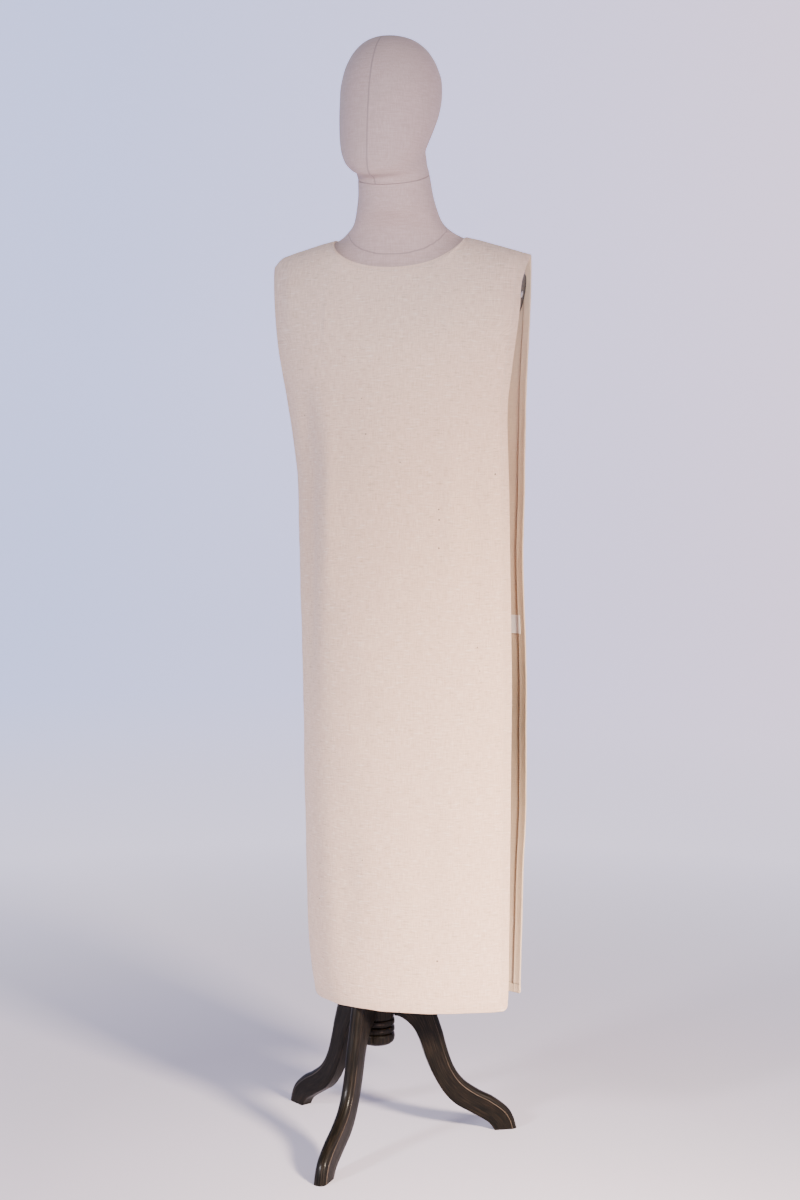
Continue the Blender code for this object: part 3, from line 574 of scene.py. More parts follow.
PLATE_HALF_SIZE = (0.0325, 0.033)
PLATE_GAP = 0.0003
PLATE_RISE = 0.0027         # from the plate's foot to the face that the screw sits on
SCREW_RADIUS = 0.0055
SCREW_TURN = radians(35)
SLOT_HALF_WIDTH = 0.0006
# How far out each step of a rim or a screw's head lies, and its size as a share of the whole.
RIM_STEPS = ((0.0000, 0.985), (0.0004, 0.996), (0.0012, 1.000), (0.0020, 0.996), (0.0028, 0.982),
             (0.0031, 0.962), (0.0030, 0.940), (0.0025, 0.925), (0.0024, 0.900), (0.0025, 0.300))
HEAD_STEPS = ((0.0000, 1.0), (0.0006, 1.0))
DOME_STEPS = ((0.0006, 1.0), (0.0011, 0.97), (0.0015, 0.88))


def speckled(name, scale, detail, dark, light, gloss=None, **surface):
    """A material whose paint, and gloss if given, vary from speck to speck."""
    made, add, give = new_material(name, **surface)
    place = add("ShaderNodeTexCoord").outputs["Object"]
    specks = add("ShaderNodeTexNoise", {"Vector": place, "Scale": scale, "Detail": detail})
    tint = add("ShaderNodeMix", {"Factor": specks, "A": dark, "B": light}, data_type="RGBA")
    give({"Base Color": tint})
    if gloss:
        low, high = gloss
        give({"Roughness": add("ShaderNodeMapRange", {"Value": specks, "To Min": low, "To Max": high})})
    return made


# Sheet metal, pressed and stove-lacquered black: glossy and dark, dulled by fine dust.
black_lacquer = speckled("black stove lacquer on pressed metal", 190.0, 5.0, "#0b0d0e", "#202426",
                         (0.15, 0.45), Coat_Weight=0.12, Coat_Roughness=0.08, Specular_IOR_Level=0.10)
# Turned mild steel, bright zinc: fine tool marks about 1 mm long, slightly worn.
bright_steel = speckled("bright zinc-plated steel", 900.0, 3.0, "#b9bcbd", "#e4e6e8", (0.18, 0.40),
                        Metallic=1.0)


def stack_discs(side, outline, lift, steps):
    """Closed stack of one outline on a side's leaning flat, at several distances out and sizes."""
    middle = Vector((side * ARM_CUT_X, *PLATE_MIDDLE))
    outwards = Vector((side * cos(ARM_CUT_LEAN), 0, -sin(ARM_CUT_LEAN)))
    upwards = Vector((side * sin(ARM_CUT_LEAN), 0, cos(ARM_CUT_LEAN)))
    points = [middle + outwards * (lift + out) + Vector((0, size * y, 0)) + upwards * (size * z)
              for out, size in steps for y, z in outline]
    count = len(outline)
    faces = [list(range(count))[::-1], [(len(steps) - 1) * count + k for k in range(count)]]
    faces += band(len(steps), count)
    return points, faces if side > 0 else [face[::-1] for face in faces]


def make_plate(name, side):
    """The plate, with its rim rolled over."""
    outline = [(PLATE_HALF_SIZE[0] * c, PLATE_HALF_SIZE[1] * s) for c, s in around(72)]
    points, faces = stack_discs(side, outline, PLATE_GAP, RIM_STEPS)
    plate = make_mesh(f"shoulder_cap_{name}", points, faces, black_lacquer, 35, FORM_ORIGIN)
    stand_for(plate, f"shoulder_plate_{name}")


def make_screw(name, side):
    """The screw's head: a disc with two halves of a dome on it, and the slot between them."""
    disc = [(SCREW_RADIUS * c, SCREW_RADIUS * s) for c, s in around(36)]
    start = atan2(SLOT_HALF_WIDTH, SCREW_RADIUS)
    half = [(SCREW_RADIUS * cos(t), SCREW_RADIUS * sin(t)) for t in np.linspace(start, pi - start, 19)]
    turn = Matrix.Rotation(SCREW_TURN, 2)
    halves = [[tuple(turn @ Vector((way * y, way * z))) for y, z in half] for way in (1, -1)]
    screw = bmesh.new()
    for outline, steps in ((disc, HEAD_STEPS), (halves[0], DOME_STEPS), (halves[1], DOME_STEPS)):
        points, faces = stack_discs(side, outline, PLATE_GAP + PLATE_RISE, steps)
        corners = [screw.verts.new(Vector(point) + FORM_ORIGIN) for point in points]
        for face in faces:
            screw.faces.new([corners[k] for k in face])
    bmesh.ops.recalc_face_normals(screw, faces=screw.faces)
    mesh = bpy.data.meshes.new(f"slotted_screw_{name}")
    screw.to_mesh(mesh)
    screw.free()
    mesh.materials.append(bright_steel)
    stand_for(put_in_scene(mesh.name, mesh), f"shoulder_screw_{name}")


for name, side in (("left", 1), ("right", -1)):
    make_plate(name, side)
    make_screw(name, side)

# ------------------------------------------------------------------------------------------------
# The surcoat's two panels. Heavy undyed cotton canvas, plain woven with thick short slubs, cut as
# two long rectangles with a round neckline, double-turned hems, and sewn together at the shoulders.

PanelSection = namedtuple(
    "PanelSection", "z right_x right_y right_pull_x right_pull_y left_pull_x left_pull_y left_x left_y")
FRONT_SECTIONS = [PanelSection(*row) for row in (
    (1.3220, -0.1930, -0.055, -0.115, -0.146, 0.118, -0.146, 0.1985, -0.064),
    (1.2390, -0.1805, -0.047, -0.122, -0.150, 0.116, -0.149, 0.1900, -0.066),
    (1.1290, -0.1700, -0.034, -0.138, -0.150, 0.110, -0.149, 0.1925, -0.064),
    (0.9980, -0.1700, -0.022, -0.148, -0.148, 0.108, -0.147, 0.1950, -0.063),
    (0.7680, -0.1680, -0.008, -0.150, -0.144, 0.102, -0.143, 0.1985, -0.061),
    (0.6000, -0.1675, -0.002, -0.148, -0.141, 0.097, -0.139, 0.1975, -0.061),
    (0.4350, -0.1660, 0.005, -0.143, -0.138, 0.091, -0.136, 0.1965, -0.061),
    (0.3500, -0.1650, 0.009, -0.140, -0.137, 0.088, -0.135, 0.1955, -0.061),
    (0.3000, -0.1605, 0.012, -0.138, -0.136, 0.087, -0.134, 0.1950, -0.0615),
    (0.2523, -0.1540, 0.016, -0.135, -0.135, 0.085, -0.133, 0.1935, -0.062),
)]
BACK_SECTIONS = [PanelSection(*row) for row in (
    (1.3220, -0.2050, 0.051, -0.122, 0.117, 0.118, 0.113, 0.2070, 0.045),
    (1.2390, -0.1960, 0.048, -0.128, 0.119, 0.118, 0.113, 0.2046, 0.045),
    (1.1290, -0.1850, 0.045, -0.134, 0.120, 0.117, 0.112, 0.2035, 0.045),
    (0.9980, -0.1800, 0.044, -0.137, 0.120, 0.117, 0.110, 0.2010, 0.045),
    (0.7680, -0.1780, 0.043, -0.138, 0.119, 0.116, 0.109, 0.2077, 0.045),
    (0.6000, -0.1740, 0.042, -0.137, 0.118, 0.115, 0.108, 0.2080, 0.045),
    (0.4350, -0.1680, 0.042, -0.135, 0.117, 0.114, 0.107, 0.2030, 0.045),
    (0.3000, -0.1580, 0.042, -0.132, 0.116, 0.113, 0.106, 0.2000, 0.045),
    (0.2523, -0.1520, 0.042, -0.130, 0.116, 0.112, 0.106, 0.1990, 0.044),
)]
# How a panel leaves its top edge and rounds over the shoulder and chest.
Yoke = namedtuple("Yoke", "across reach dip rise")
FRONT_YOKE = [Yoke(*row) for row in (
    (0.00, 0.26, 0.24, 0.40), (0.26, 0.28, 0.22, 0.42), (0.43, 0.45, 0.12, 0.48),
    (0.52, 0.60, 0.05, 0.56), (0.75, 0.60, 0.04, 0.56), (0.90, 0.55, 0.05, 0.48),
    (1.00, 0.46, 0.07, 0.37),
)]
BACK_YOKE = [Yoke(*row) for row in (
    (0.00, 0.50, 0.10, 0.50), (0.26, 0.52, 0.09, 0.52), (0.43, 0.62, 0.06, 0.58),
    (0.52, 0.74, 0.02, 0.62), (0.75, 0.72, 0.02, 0.62), (0.90, 0.70, 0.03, 0.58),
    (1.00, 0.68, 0.05, 0.52),
)]
# Creases: a soft trough (depth > 0) or ridge (depth < 0) from top_z to low_z; lean slides it
# sideways on its way down. The long ones come from the way the canvas hangs off the shoulders.
Crease = namedtuple("Crease", "across top_z low_z depth half_width lean")
FRONT_CREASES = [Crease(*row) for row in (
    (-0.72, 1.310, 0.740, 0.0112, 0.098, 0.00),
    (-0.50, 1.290, 0.900, -0.0030, 0.080, 0.03),
    (0.70, 1.260, 0.860, 0.0030, 0.090, 0.00),
    (0.52, 1.230, 0.960, -0.0016, 0.060, -0.02),
    (-0.30, 0.620, 0.260, 0.0020, 0.120, 0.00),
    (0.34, 0.700, 0.300, 0.0016, 0.110, 0.03),
    (-0.17, 1.478, 1.425, 0.0010, 0.022, 0.01),
    (-0.08, 1.476, 1.440, 0.0008, 0.018, 0.00),
    (0.10, 1.470, 1.400, -0.0006, 0.040, 0.02),
)]
BACK_CREASES = [Crease(*row) for row in (
    (-0.55, 1.280, 0.420, 0.0045, 0.110, 0.00),
    (-0.34, 1.240, 0.700, -0.0020, 0.070, 0.03),
    (0.62, 1.240, 0.700, 0.0035, 0.095, 0.00),
    (0.40, 1.200, 0.820, -0.0018, 0.070, -0.03),
    (0.05, 0.760, 0.290, 0.0020, 0.120, 0.02),
)]
CLOTH_WALL = 0.0015
HEM_WALL = 0.0030
# Columns and rows stand closest where the hem is folded, stitched and ends, 15 mm from the edge.
HEM_STEPS = (0.0, 0.0010, 0.0025, 0.0060, 0.0100, 0.0128, 0.0140, 0.0150, 0.0158, 0.0168, 0.0182)
STITCH_FROM_EDGE = 0.0128
CREVICE_SHADOW_FROM_EDGE = 0.0158
NECK_BAND = 0.0085
NECK_SETTLES = 0.0022       # the neckline's thin edge lies nearer to the form than the canvas below it
FORM_CLEAR = 0.0010         # the air that the canvas keeps from the form where it can
SEAM_GAP = 0.0003           # between the two panels along the shoulder seams
SEAM_TRIM = 0.0006          # how much thinner and lower the cloth is where the shoulder seam is pressed
SHOULDER_HALF_WIDTH = 0.2175
NECK_HALF_WIDTH = 0.111
NECK_CORNER = NECK_HALF_WIDTH / SHOULDER_HALF_WIDTH     # as a column, from 0 to 1
NECK_CORNER_Z = 1.529
NECK_TURNS = (86, 82, 78, 73, 68, 63, 58, 53, 48, 43, 38, 33.5, 29, 24.5, 20, 16, 12, 8, 4)
SHOULDER_FALL = 0.295       # how steeply the shoulder seam falls towards its tip
DROOP_START_X = 0.198
RIGHT_DROOP = 0.011         # how much lower the right shoulder's tip hangs over
CHEST_Z = 1.322
HEM_Z = 0.2523
COVER_LIFT = 0.0048         # how far the neckline lies out from the form, except at its corners
LIFT_FADE = 12
NARROWING = 1.4             # how late the yoke narrows from the shoulders to the chest
RIPPLE = 0.0011             # the hanging cloth's soft unevenness, and a finer one all over
FINE_RIPPLE = 0.0004
HEM_WAVE = 0.0014           # how far the bottom hem strays from level
TUCK_Z = 1.450              # where a panel's left edge tucks in most
STITCH_SINK = 0.00035
FOLD_PUCKER = 0.0004        # how unevenly the hem's fold lies beside its stitches
BAND_SWELL = 0.0004         # how the layers stand out along the neckline's band and the shoulder seam
SEAM_SWELL = 0.0007
NECK_THINNING = 0.0014      # how much thinner the neckline's edge is than a hem
CORNER_SAG = 0.0010         # how much the cloth sinks at the neckline's corners
# The front's hem corners are rounded by wear and its left edge tucks in beside the plate. Painted
# shade darkens the inside of the back's hems about a given height; the front's has none.
NO_PAINTED_SHADE_Z = -9.0
Panel = namedtuple("Panel", "name side sections yoke creases neck_drop seed tuck corner grip_z")
FRONT = Panel("canvas_front", -1, FRONT_SECTIONS, FRONT_YOKE, FRONT_CREASES, neck_drop=0.0537,
              seed=3.1, tuck=0.0044, corner=0.0090, grip_z=NO_PAINTED_SHADE_Z)
BACK = Panel("canvas_back", 1, BACK_SECTIONS, BACK_YOKE, BACK_CREASES, neck_drop=0.014,
             seed=8.4, tuck=0.0, corner=0.0025, grip_z=0.72)


def make_canvas():
    # Heavy undyed cotton canvas: matte warm cream with a grey cast. Threads about 1 mm apart are
    # drawn 1.7 mm apart so that they show; weft slubs are 5 to 25 mm long, with sparse dark flecks.
    canvas, add, give = new_material("undyed heavy cotton canvas", Roughness=0.92, Sheen_Weight=0.12,
                                     Sheen_Roughness=0.6, Specular_IOR_Level=0.2)
    uv = add("ShaderNodeUVMap", uv_map="cut").outputs["UV"]
    weft = streaks(add, uv, (70.0, 600.0, 1.0), 3.0, 0.6)
    warp = streaks(add, uv, (600.0, 50.0, 1.0), 2.0)
    weave = add("ShaderNodeMath", {0: weft, 1: warp}, operation="ADD")
    shade = add("ShaderNodeMapRange", {"Value": weave, "From Min": 0.64, "From Max": 1.36})
    cloth = add("ShaderNodeMix", {"Factor": shade, "A": "#cfac91", "B": "#efd2b9"}, data_type="RGBA")
    # Slubs: thick lengths of weft, paler, and thin or dirty lengths, darker.
    slub = streaks(add, uv, (46.0, 360.0, 1.0), 1.0, shift=(3.0, 7.0, 0))
    pale = add("ShaderNodeMapRange", {"Value": slub, "From Min": 0.60, "From Max": 0.74, "To Max": 0.36})
    dark = add("ShaderNodeMapRange", {"Value": slub, "From Min": 0.38, "From Max": 0.26, "To Max": 0.45})
    # Flecks: bits of seed husk 1 to 2 mm long, one to about every 4 cm.
    husks = add("ShaderNodeMapping", {"Vector": uv, "Scale": (24.0, 36.0, 1.0)})
    cells = add("ShaderNodeTexVoronoi", {"Vector": husks, "Scale": 1.0, "Randomness": 1.0})
    chance = add("ShaderNodeSeparateColor", {"Color": cells.outputs["Color"]})
    size = add("ShaderNodeMapRange", {"Value": chance.outputs["Red"], "From Min": 0.55, "To Max": 0.065})
    fleck = add("ShaderNodeMath", {0: cells.outputs["Distance"], 1: size}, operation="LESS_THAN")
    spot = add("ShaderNodeMath", {0: fleck, 1: 0.85}, operation="MULTIPLY")
    for layer, colour in ((pale, "#f8ecdf"), (dark, "#b0957f"), (spot, "#5a493c")):
        cloth = add("ShaderNodeMix", {"Factor": layer, "A": cloth, "B": colour}, data_type="RGBA")
    # Turned hems are two more layers of cloth, painted a little warmer and darker as painted shade along
    # the fold. The inner face is painted paler and yellower as painted warm bounce light, and darker near
    # the back's side hems about a given height as painted shade. A thin painted shadow lines the hem's
    # crevice.
    for marks, share, colour in (("turned", 0.30, "#cbae96"), ("inside", 0.55, "#ecd9b4"),
                                 ("inner_painted_shade", 0.75, "#7f705c"), ("crevice_shadow", 0.65, "#5d4d3e")):
        marked = add("ShaderNodeAttribute", attribute_name=marks).outputs["Fac"]
        layer = add("ShaderNodeMath", {0: marked, 1: share}, operation="MULTIPLY")
        cloth = add("ShaderNodeMix", {"Factor": layer, "A": cloth, "B": colour}, data_type="RGBA")
    lumps = add("ShaderNodeMath", {0: slub, 1: 1.5}, operation="MULTIPLY")
    height = add("ShaderNodeMath", {0: weave, 1: lumps}, operation="ADD")
    relief = add("ShaderNodeBump", {"Height": height, "Strength": 0.55, "Distance": 0.0006})
    give({"Base Color": cloth, "Normal": relief})
    return canvas


canvas = make_canvas()


def cubic(start, start_pull, end_pull, end, t):
    """A point on the curve that leaves start towards start_pull and reaches end from end_pull."""
    return ((1 - t) ** 3 * start + 3 * (1 - t) ** 2 * t * start_pull
            + 3 * (1 - t) * t * t * end_pull + t ** 3 * end)


def form_y(side, x, z):
    """The form's surface at x and z, on its front (side -1) or its back (side +1)."""
    ring = smooth_row(BODY_RINGS, "z", z)
    share = min(abs(x - ring.middle_x) / ring.half_width, 1.0)
    reach = ring.front if side < 0 else ring.back
    return ring.middle_y + side * reach * (1 - share ** ring.power) ** (1 / ring.power)


covered_form = BVHTree.FromPolygons([vertex.co for vertex in linen_body.data.vertices],
                                    [tuple(polygon.vertices) for polygon in linen_body.data.polygons])


def outside_form(point):
    """How far a point lies outside the covered form."""
    found, normal, _index, distance = covered_form.find_nearest(Vector(point) + FORM_ORIGIN)
    return distance if (Vector(point) + FORM_ORIGIN - found).dot(normal) > 0 else -distance


def hanging_row(panel, columns, z):
    """A level row of the free-hanging cloth, from -1 (right edge) to 1 (left edge)."""
    row = smooth_row(panel.sections, "z", z)
    ends = np.array(row[1:]).reshape(4, 2)
    curve = cubic(*ends, np.linspace(0, 1, 129)[:, None])
    lengths = np.concatenate([[0], np.cumsum(np.linalg.norm(np.diff(curve, axis=0), axis=1))])
    along = (np.asarray(columns) + 1) / 2 * lengths[-1]
    return np.stack([np.interp(along, lengths, curve[:, 0]), np.interp(along, lengths, curve[:, 1]),
                     np.full(len(along), z)], axis=1)


def top_point(panel, x):
    """Where the cloth starts at x: on the neckline, or outside its corners on the shoulder seam."""
    from_neck = abs(x) - NECK_HALF_WIDTH
    if from_neck < 0:
        share = abs(x) / NECK_HALF_WIDTH
        z = NECK_CORNER_Z - panel.neck_drop * sqrt(1 - share ** 2)
        y = form_y(panel.side, x, z - COVER_LIFT) + panel.side * COVER_LIFT * (1 - share ** LIFT_FADE)
        return np.array([x, y, z])
    past = max(0.0, (abs(x) - DROOP_START_X) / (SHOULDER_HALF_WIDTH - DROOP_START_X))
    droop = (RIGHT_DROOP if x < 0 else 0.0) * past ** 2
    return np.array([x, panel.side * SEAM_GAP / 2, NECK_CORNER_Z - SHOULDER_FALL * from_neck - droop])


def yoke_rows(panel, columns, downs):
    """The rows between the top edge (down 0) and the chest line (down 1)."""
    ends = hanging_row(panel, columns, CHEST_Z)
    rows = np.zeros((len(downs), len(columns), 3))
    for j, across in enumerate(columns):
        yoke = smooth_row(panel.yoke, "across", abs(across))
        start, end = top_point(panel, across * SHOULDER_HALF_WIDTH), ends[j]
        forward, fall = end[1] - start[1], start[2] - end[2]
        start_pull = start + np.array([0, yoke.reach * forward, -yoke.dip * fall])
        end_pull = end + np.array([0, 0, yoke.rise * fall])
        for i, down in enumerate(downs):
            rows[i, j] = cubic(start, start_pull, end_pull, end, down)
            rows[i, j, 0] = start[0] + (end[0] - start[0]) * down ** NARROWING
    return rows


def smooth_step(values, low, high):
    """0 below low, 1 above high, and a soft step between them."""
    t = np.clip((values - low) / (high - low), 0, 1)
    return t * t * (3 - 2 * t)


def ripple(points, scale, seed):
    """Gentle seeded unevenness, from -1 to 1, of a grid of points."""
    flat = [noise.noise(Vector(point) * scale + Vector((seed, seed * 2, seed * 3)))
            for point in points.reshape(-1, 3)]
    return np.array(flat).reshape(points.shape[:2])


def soft_shares(places, reach):
    """How much every place of a row counts in a soft average round each of them."""
    shares = np.exp(-0.5 * ((places[:, None] - places[None, :]) / reach) ** 2) * np.gradient(places)[None, :]
    return shares / shares.sum(axis=1)[:, None]


def grid_normals(grid, side):
    """Unit normals of a grid of points, facing away from the body."""
    normals = np.cross(np.gradient(grid, axis=1), np.gradient(grid, axis=0))
    normals /= np.linalg.norm(normals, axis=2)[:, :, None]
    return -normals if side * normals[len(grid) // 2, grid.shape[1] // 2, 1] < 0 else normals


def hang(panel):
    """The panel as a smooth hanging grid, with its columns and how far down its yoke's rows are."""
    hem = [1 - out / SHOULDER_HALF_WIDTH for out in HEM_STEPS]
    shoulder = list(np.linspace(hem[-1], NECK_CORNER, 21))[1:]
    left = hem + shoulder + [NECK_CORNER * sin(radians(turn)) for turn in NECK_TURNS]
    columns = np.array([-place for place in left] + [0.0] + left[::-1])
    downs = list(np.linspace(0, 0.10, 13)) + list(np.linspace(0.12, 1.0, 34))[:-1]
    zs = list(np.linspace(CHEST_Z, HEM_Z + 0.0220, 150)) + [HEM_Z + up for up in HEM_STEPS[::-1]]
    grid = np.concatenate([yoke_rows(panel, columns, downs),
                           np.array([hanging_row(panel, columns, z) for z in zs])])
    return grid, columns, downs


# A grid's columns and yoke rows, the metres along the cloth from each edge to every place of it,
# and which of its columns end on the shoulder seam.
Laid = namedtuple("Laid", "columns downs from_right width from_top from_bottom from_side on_seam")


def measure(grid, columns, downs):
    """Lay a hanging grid flat and measure it from its edges."""
    across = np.linalg.norm(np.diff(grid, axis=1), axis=2)
    from_right = np.concatenate([np.zeros((len(grid), 1)), np.cumsum(across, axis=1)], axis=1)
    width = from_right[:, -1:]
    down = np.linalg.norm(np.diff(grid, axis=0), axis=2)
    from_top = np.concatenate([np.zeros((1, len(columns))), np.cumsum(down, axis=0)])
    return Laid(columns, downs, from_right, width, from_top, from_top[-1:] - from_top,
                np.minimum(from_right, width - from_right), np.abs(columns) >= NECK_CORNER - 1e-6)


def settle(panel, grid, laid):
    """Let the smooth grid hang as stiff canvas does, with worn corners, clear of the form."""
    # Below the top edge the stiff canvas bridges the neckline's corners in one soft curve, which
    # widens on its way down and dies out towards the chest line.
    for i, down in enumerate(laid.downs[1:], 1):
        shares = soft_shares(grid[i, :, 0], 0.003 + 0.030 * smooth_step(down, 0.0, 0.45))
        ease = smooth_step(down, 0.008, 0.13) * (1 - smooth_step(down, 0.55, 0.98))
        ease = ease * smooth_step(laid.from_side[i], 0.016, 0.060)
        grid[i, :, 1:] += ease[:, None] * (shares @ grid[i, :, 1:] - grid[i, :, 1:])
    cornering = np.clip(panel.corner - laid.from_side, 0, None)
    raised = panel.corner - np.sqrt(panel.corner ** 2 - cornering ** 2)
    grid[:, :, 2] += raised * np.clip(1 - laid.from_bottom / 0.022, 0, 1)
    waves = ripple(grid, 26.0, panel.seed + 3)
    grid[:, :, 2] += HEM_WAVE * waves * np.clip(1 - laid.from_bottom / 0.030, 0, 1)
    tucked = smooth_step(laid.columns, 0.70, 1.00)[None, :] * hump(grid[:, :, 2], TUCK_Z, 0.030)
    grid[:, :, 0] -= panel.tuck * tucked
    normals = grid_normals(grid, panel.side)
    for i in range(2, len(laid.downs)):
        for j in range(len(laid.columns)):
            sunk = CLOTH_WALL + FORM_CLEAR + 0.0006 - outside_form(grid[i, j])
            grid[i, j] += normals[i, j] * soften(sunk, 0.0008) * min(1.0, laid.from_top[i, j] / 0.012)


def relief_of(panel, grid, laid):
    """How far the cloth's outer face lies out from its settled grid: creases, ripples, sewing."""
    z = grid[:, :, 2]
    out = np.zeros(z.shape)
    for crease in panel.creases:
        run = np.clip((crease.top_z - z) / (crease.top_z - crease.low_z), 0, 1)
        beside = laid.columns[None, :] - crease.across
        out -= crease.depth * np.sin(pi * run) * hump(beside, crease.lean * run, crease.half_width)
    free = 1 - smooth_step(z, 1.24, 1.36)
    out += RIPPLE * ripple(grid, 13.0, panel.seed) * free
    out += FINE_RIPPLE * ripple(grid, 38.0, panel.seed + 5) * (0.25 + 0.75 * free)
    # Each line of stitches pulls the cloth in, and the fold beside it and the neckline's band swell.
    pulled = ripple(grid, 60.0, panel.seed + 9)
    edges = (laid.from_side, laid.from_bottom)
    out -= STITCH_SINK * np.maximum(*[hump(edge, STITCH_FROM_EDGE, 0.0013) for edge in edges])
    out += FOLD_PUCKER * pulled * np.maximum(*[hump(edge, 0.007, 0.005) for edge in edges])
    neck = (~laid.on_seam)[None, :] * np.ones_like(out)
    out += neck * BAND_SWELL * hump(laid.from_top, NECK_BAND, 0.0034) * (0.7 + 0.8 * pulled)
    out -= neck * BAND_SWELL / 2 * hump(laid.from_top, NECK_BAND - 0.0035, 0.0020)
    out += (1 - neck) * SEAM_SWELL * hump(laid.from_top, 0.0055, 0.0040) * (0.7 + 0.9 * pulled)
    settles = NECK_SETTLES * (1 - 1.9 * smooth_step(np.abs(laid.columns) / NECK_CORNER, 0.50, 0.95))
    out -= neck * settles[None, :] * (1 - smooth_step(laid.from_top, 0.002, 0.028))
    return out + 0.0003 * (1 - smooth_step(laid.from_bottom, 0.0134, 0.0160))


def sheet_faces(rows, places):
    """The quads of a wall's outer and inner grid, and its rim as a walk of (row, place)."""
    faces = []
    for i in range(rows - 1):
        for j in range(places - 1):
            quad = [i * places + j, i * places + j + 1, (i + 1) * places + j + 1, (i + 1) * places + j]
            faces += [quad[::-1], [rows * places + k for k in quad]]
    rim = [(0, j) for j in range(places)] + [(i, places - 1) for i in range(1, rows)]
    rim += [(rows - 1, j) for j in range(places - 2, -1, -1)] + [(i, 0) for i in range(rows - 2, 0, -1)]
    return faces, rim


def close_wall(panel, grid, laid, outer, inner, wall):
    """Outer face, inner face and a rim that rolls round the folded edge, as one closed piece."""
    rows, places = outer.shape[:2]
    back = rows * places
    faces, rim = sheet_faces(rows, places)
    fold = []
    for i, j in rim:
        inside = grid[min(max(i, 1), rows - 2), min(max(j, 1), places - 2)]
        away = grid[i, j] - inside
        away /= np.linalg.norm(away)
        at_top = 0.0 if laid.on_seam[j] else 0.15
        roll = (at_top if i == 0 else 0.3) * wall[i, j]
        fold.append((outer[i, j] + inner[i, j]) / 2 + away * roll)
    ring = [i * places + j for i, j in rim]
    for k, here in enumerate(ring):
        after_k = (k + 1) % len(ring)
        after = ring[after_k]
        faces.append([here, after, 2 * back + after_k, 2 * back + k])
        faces.append([2 * back + k, 2 * back + after_k, back + after, back + here])
    points = [*outer.reshape(-1, 3), *inner.reshape(-1, 3), *fold]
    if panel.side > 0:
        faces = [face[::-1] for face in faces]
    return make_mesh(panel.name, points, faces, canvas, 70, FORM_ORIGIN), rim


def lay_pattern(panel, piece, rim, laid, z):
    """The UV map: the cloth as it was cut, in metres from the middle and from the hem."""
    from_middle = (laid.from_right - laid.width / 2) * laid.width.max() / laid.width
    longer = laid.from_bottom - z
    for i, down in enumerate(laid.downs):
        shares = soft_shares(laid.columns, 0.16 * (1 - smooth_step(down, 0.75, 1.0)) + 0.001)
        from_middle[i], longer[i] = shares @ from_middle[i], shares @ longer[i]
    flat = np.stack([from_middle, longer + z + panel.seed], axis=2)
    at_rim = np.array([flat[place] for place in rim])
    flat = np.concatenate([flat.reshape(-1, 2), flat.reshape(-1, 2) + np.array([0.7, 0.35]), at_rim])
    corners = np.zeros(len(piece.data.loops), dtype=int)
    piece.data.loops.foreach_get("vertex_index", corners)
    piece.data.uv_layers.new(name="cut").data.foreach_set("uv", flat[corners].ravel())


Draped = namedtuple("Draped", "piece outer inner normals laid")


def make_panel(panel, node_name):
    """Cut, drape and hem one panel; returns its piece and the grids its sewing lies on."""
    grid, columns, downs = hang(panel)
    laid = measure(grid, columns, downs)
    settle(panel, grid, laid)
    normals = grid_normals(grid, panel.side)
    seam = laid.on_seam
    normals[0, seam, 1] = 0.0
    normals[0, seam] /= np.linalg.norm(normals[0, seam], axis=1)[:, None]
    outer = grid + normals * relief_of(panel, grid, laid)[:, :, None]
    outer[0, seam] -= np.array([0, 0, SEAM_TRIM])
    at_corner = hump(np.abs(columns) * SHOULDER_HALF_WIDTH, NECK_HALF_WIDTH, 0.014)
    outer[:, :, 2] -= CORNER_SAG * at_corner[None, :] * (1 - smooth_step(laid.from_top, 0.0, 0.030))

    turned = 1 - smooth_step(np.minimum(laid.from_side, laid.from_bottom), 0.0136, 0.0156)
    turned = np.maximum(turned, 1 - smooth_step(laid.from_top, 0.0075, 0.0100))
    wall = CLOTH_WALL + (HEM_WALL - CLOTH_WALL) * turned
    wall -= (~seam)[None, :] * NECK_THINNING * (1 - smooth_step(laid.from_top, 0.008, 0.012))
    wall[0, seam] -= SEAM_TRIM
    inner = outer - normals * wall[:, :, None]
    chest = len(downs)
    inner[:chest, :, 1] = panel.side * np.maximum(panel.side * inner[:chest, :, 1], SEAM_GAP / 2)
    piece, rim = close_wall(panel, grid, laid, outer, inner, wall)

    z = grid[:, :, 2]
    lay_pattern(panel, piece, rim, laid, z)
    # A thin line of painted shadow in the crevice beside the turned hem's edge, on the inner face.
    crevice_shadow = hump(laid.from_side, CREVICE_SHADOW_FROM_EDGE, 0.0010) * (laid.from_bottom > 0.0155)
    crevice_shadow = np.maximum(crevice_shadow, hump(laid.from_bottom, CREVICE_SHADOW_FROM_EDGE, 0.0008))
    # Painted shade on the inner face near the side edges, about the panel's given height; none on the front.
    inner_painted_shade = hump(z, panel.grip_z, 0.20) * smooth_step(np.abs(columns), 0.60, 0.90)[None, :]
    nowhere, everywhere = np.zeros(z.shape), np.ones(z.shape)
    # Colour marks per face and rim: painted shade on the hems and their folded rims, painted warm bounce
    # light on the whole inner face, and the two painted shades above.
    for name, outside, inside, at_rim in (
            ("turned", turned, turned, 1.0), ("inside", nowhere, everywhere, 0.5),
            ("inner_painted_shade", nowhere, inner_painted_shade, 0.0), ("crevice_shadow", nowhere, crevice_shadow, 0.0)):
        mark(piece, name, np.concatenate([outside.ravel(), inside.ravel(), np.full(len(rim), at_rim)]))
    return Draped(stand_for(piece, node_name), outer, inner, normals, laid)


front = make_panel(FRONT, "front_panel")
back = make_panel(BACK, "back_panel")

# ------------------------------------------------------------------------------------------------
# The sewing. Undyed polyester-cotton thread, lockstitched 13 mm from every hem's edge and 7 mm
# from the neckline, 4 mm a stitch, so that it shows on both faces of the canvas.

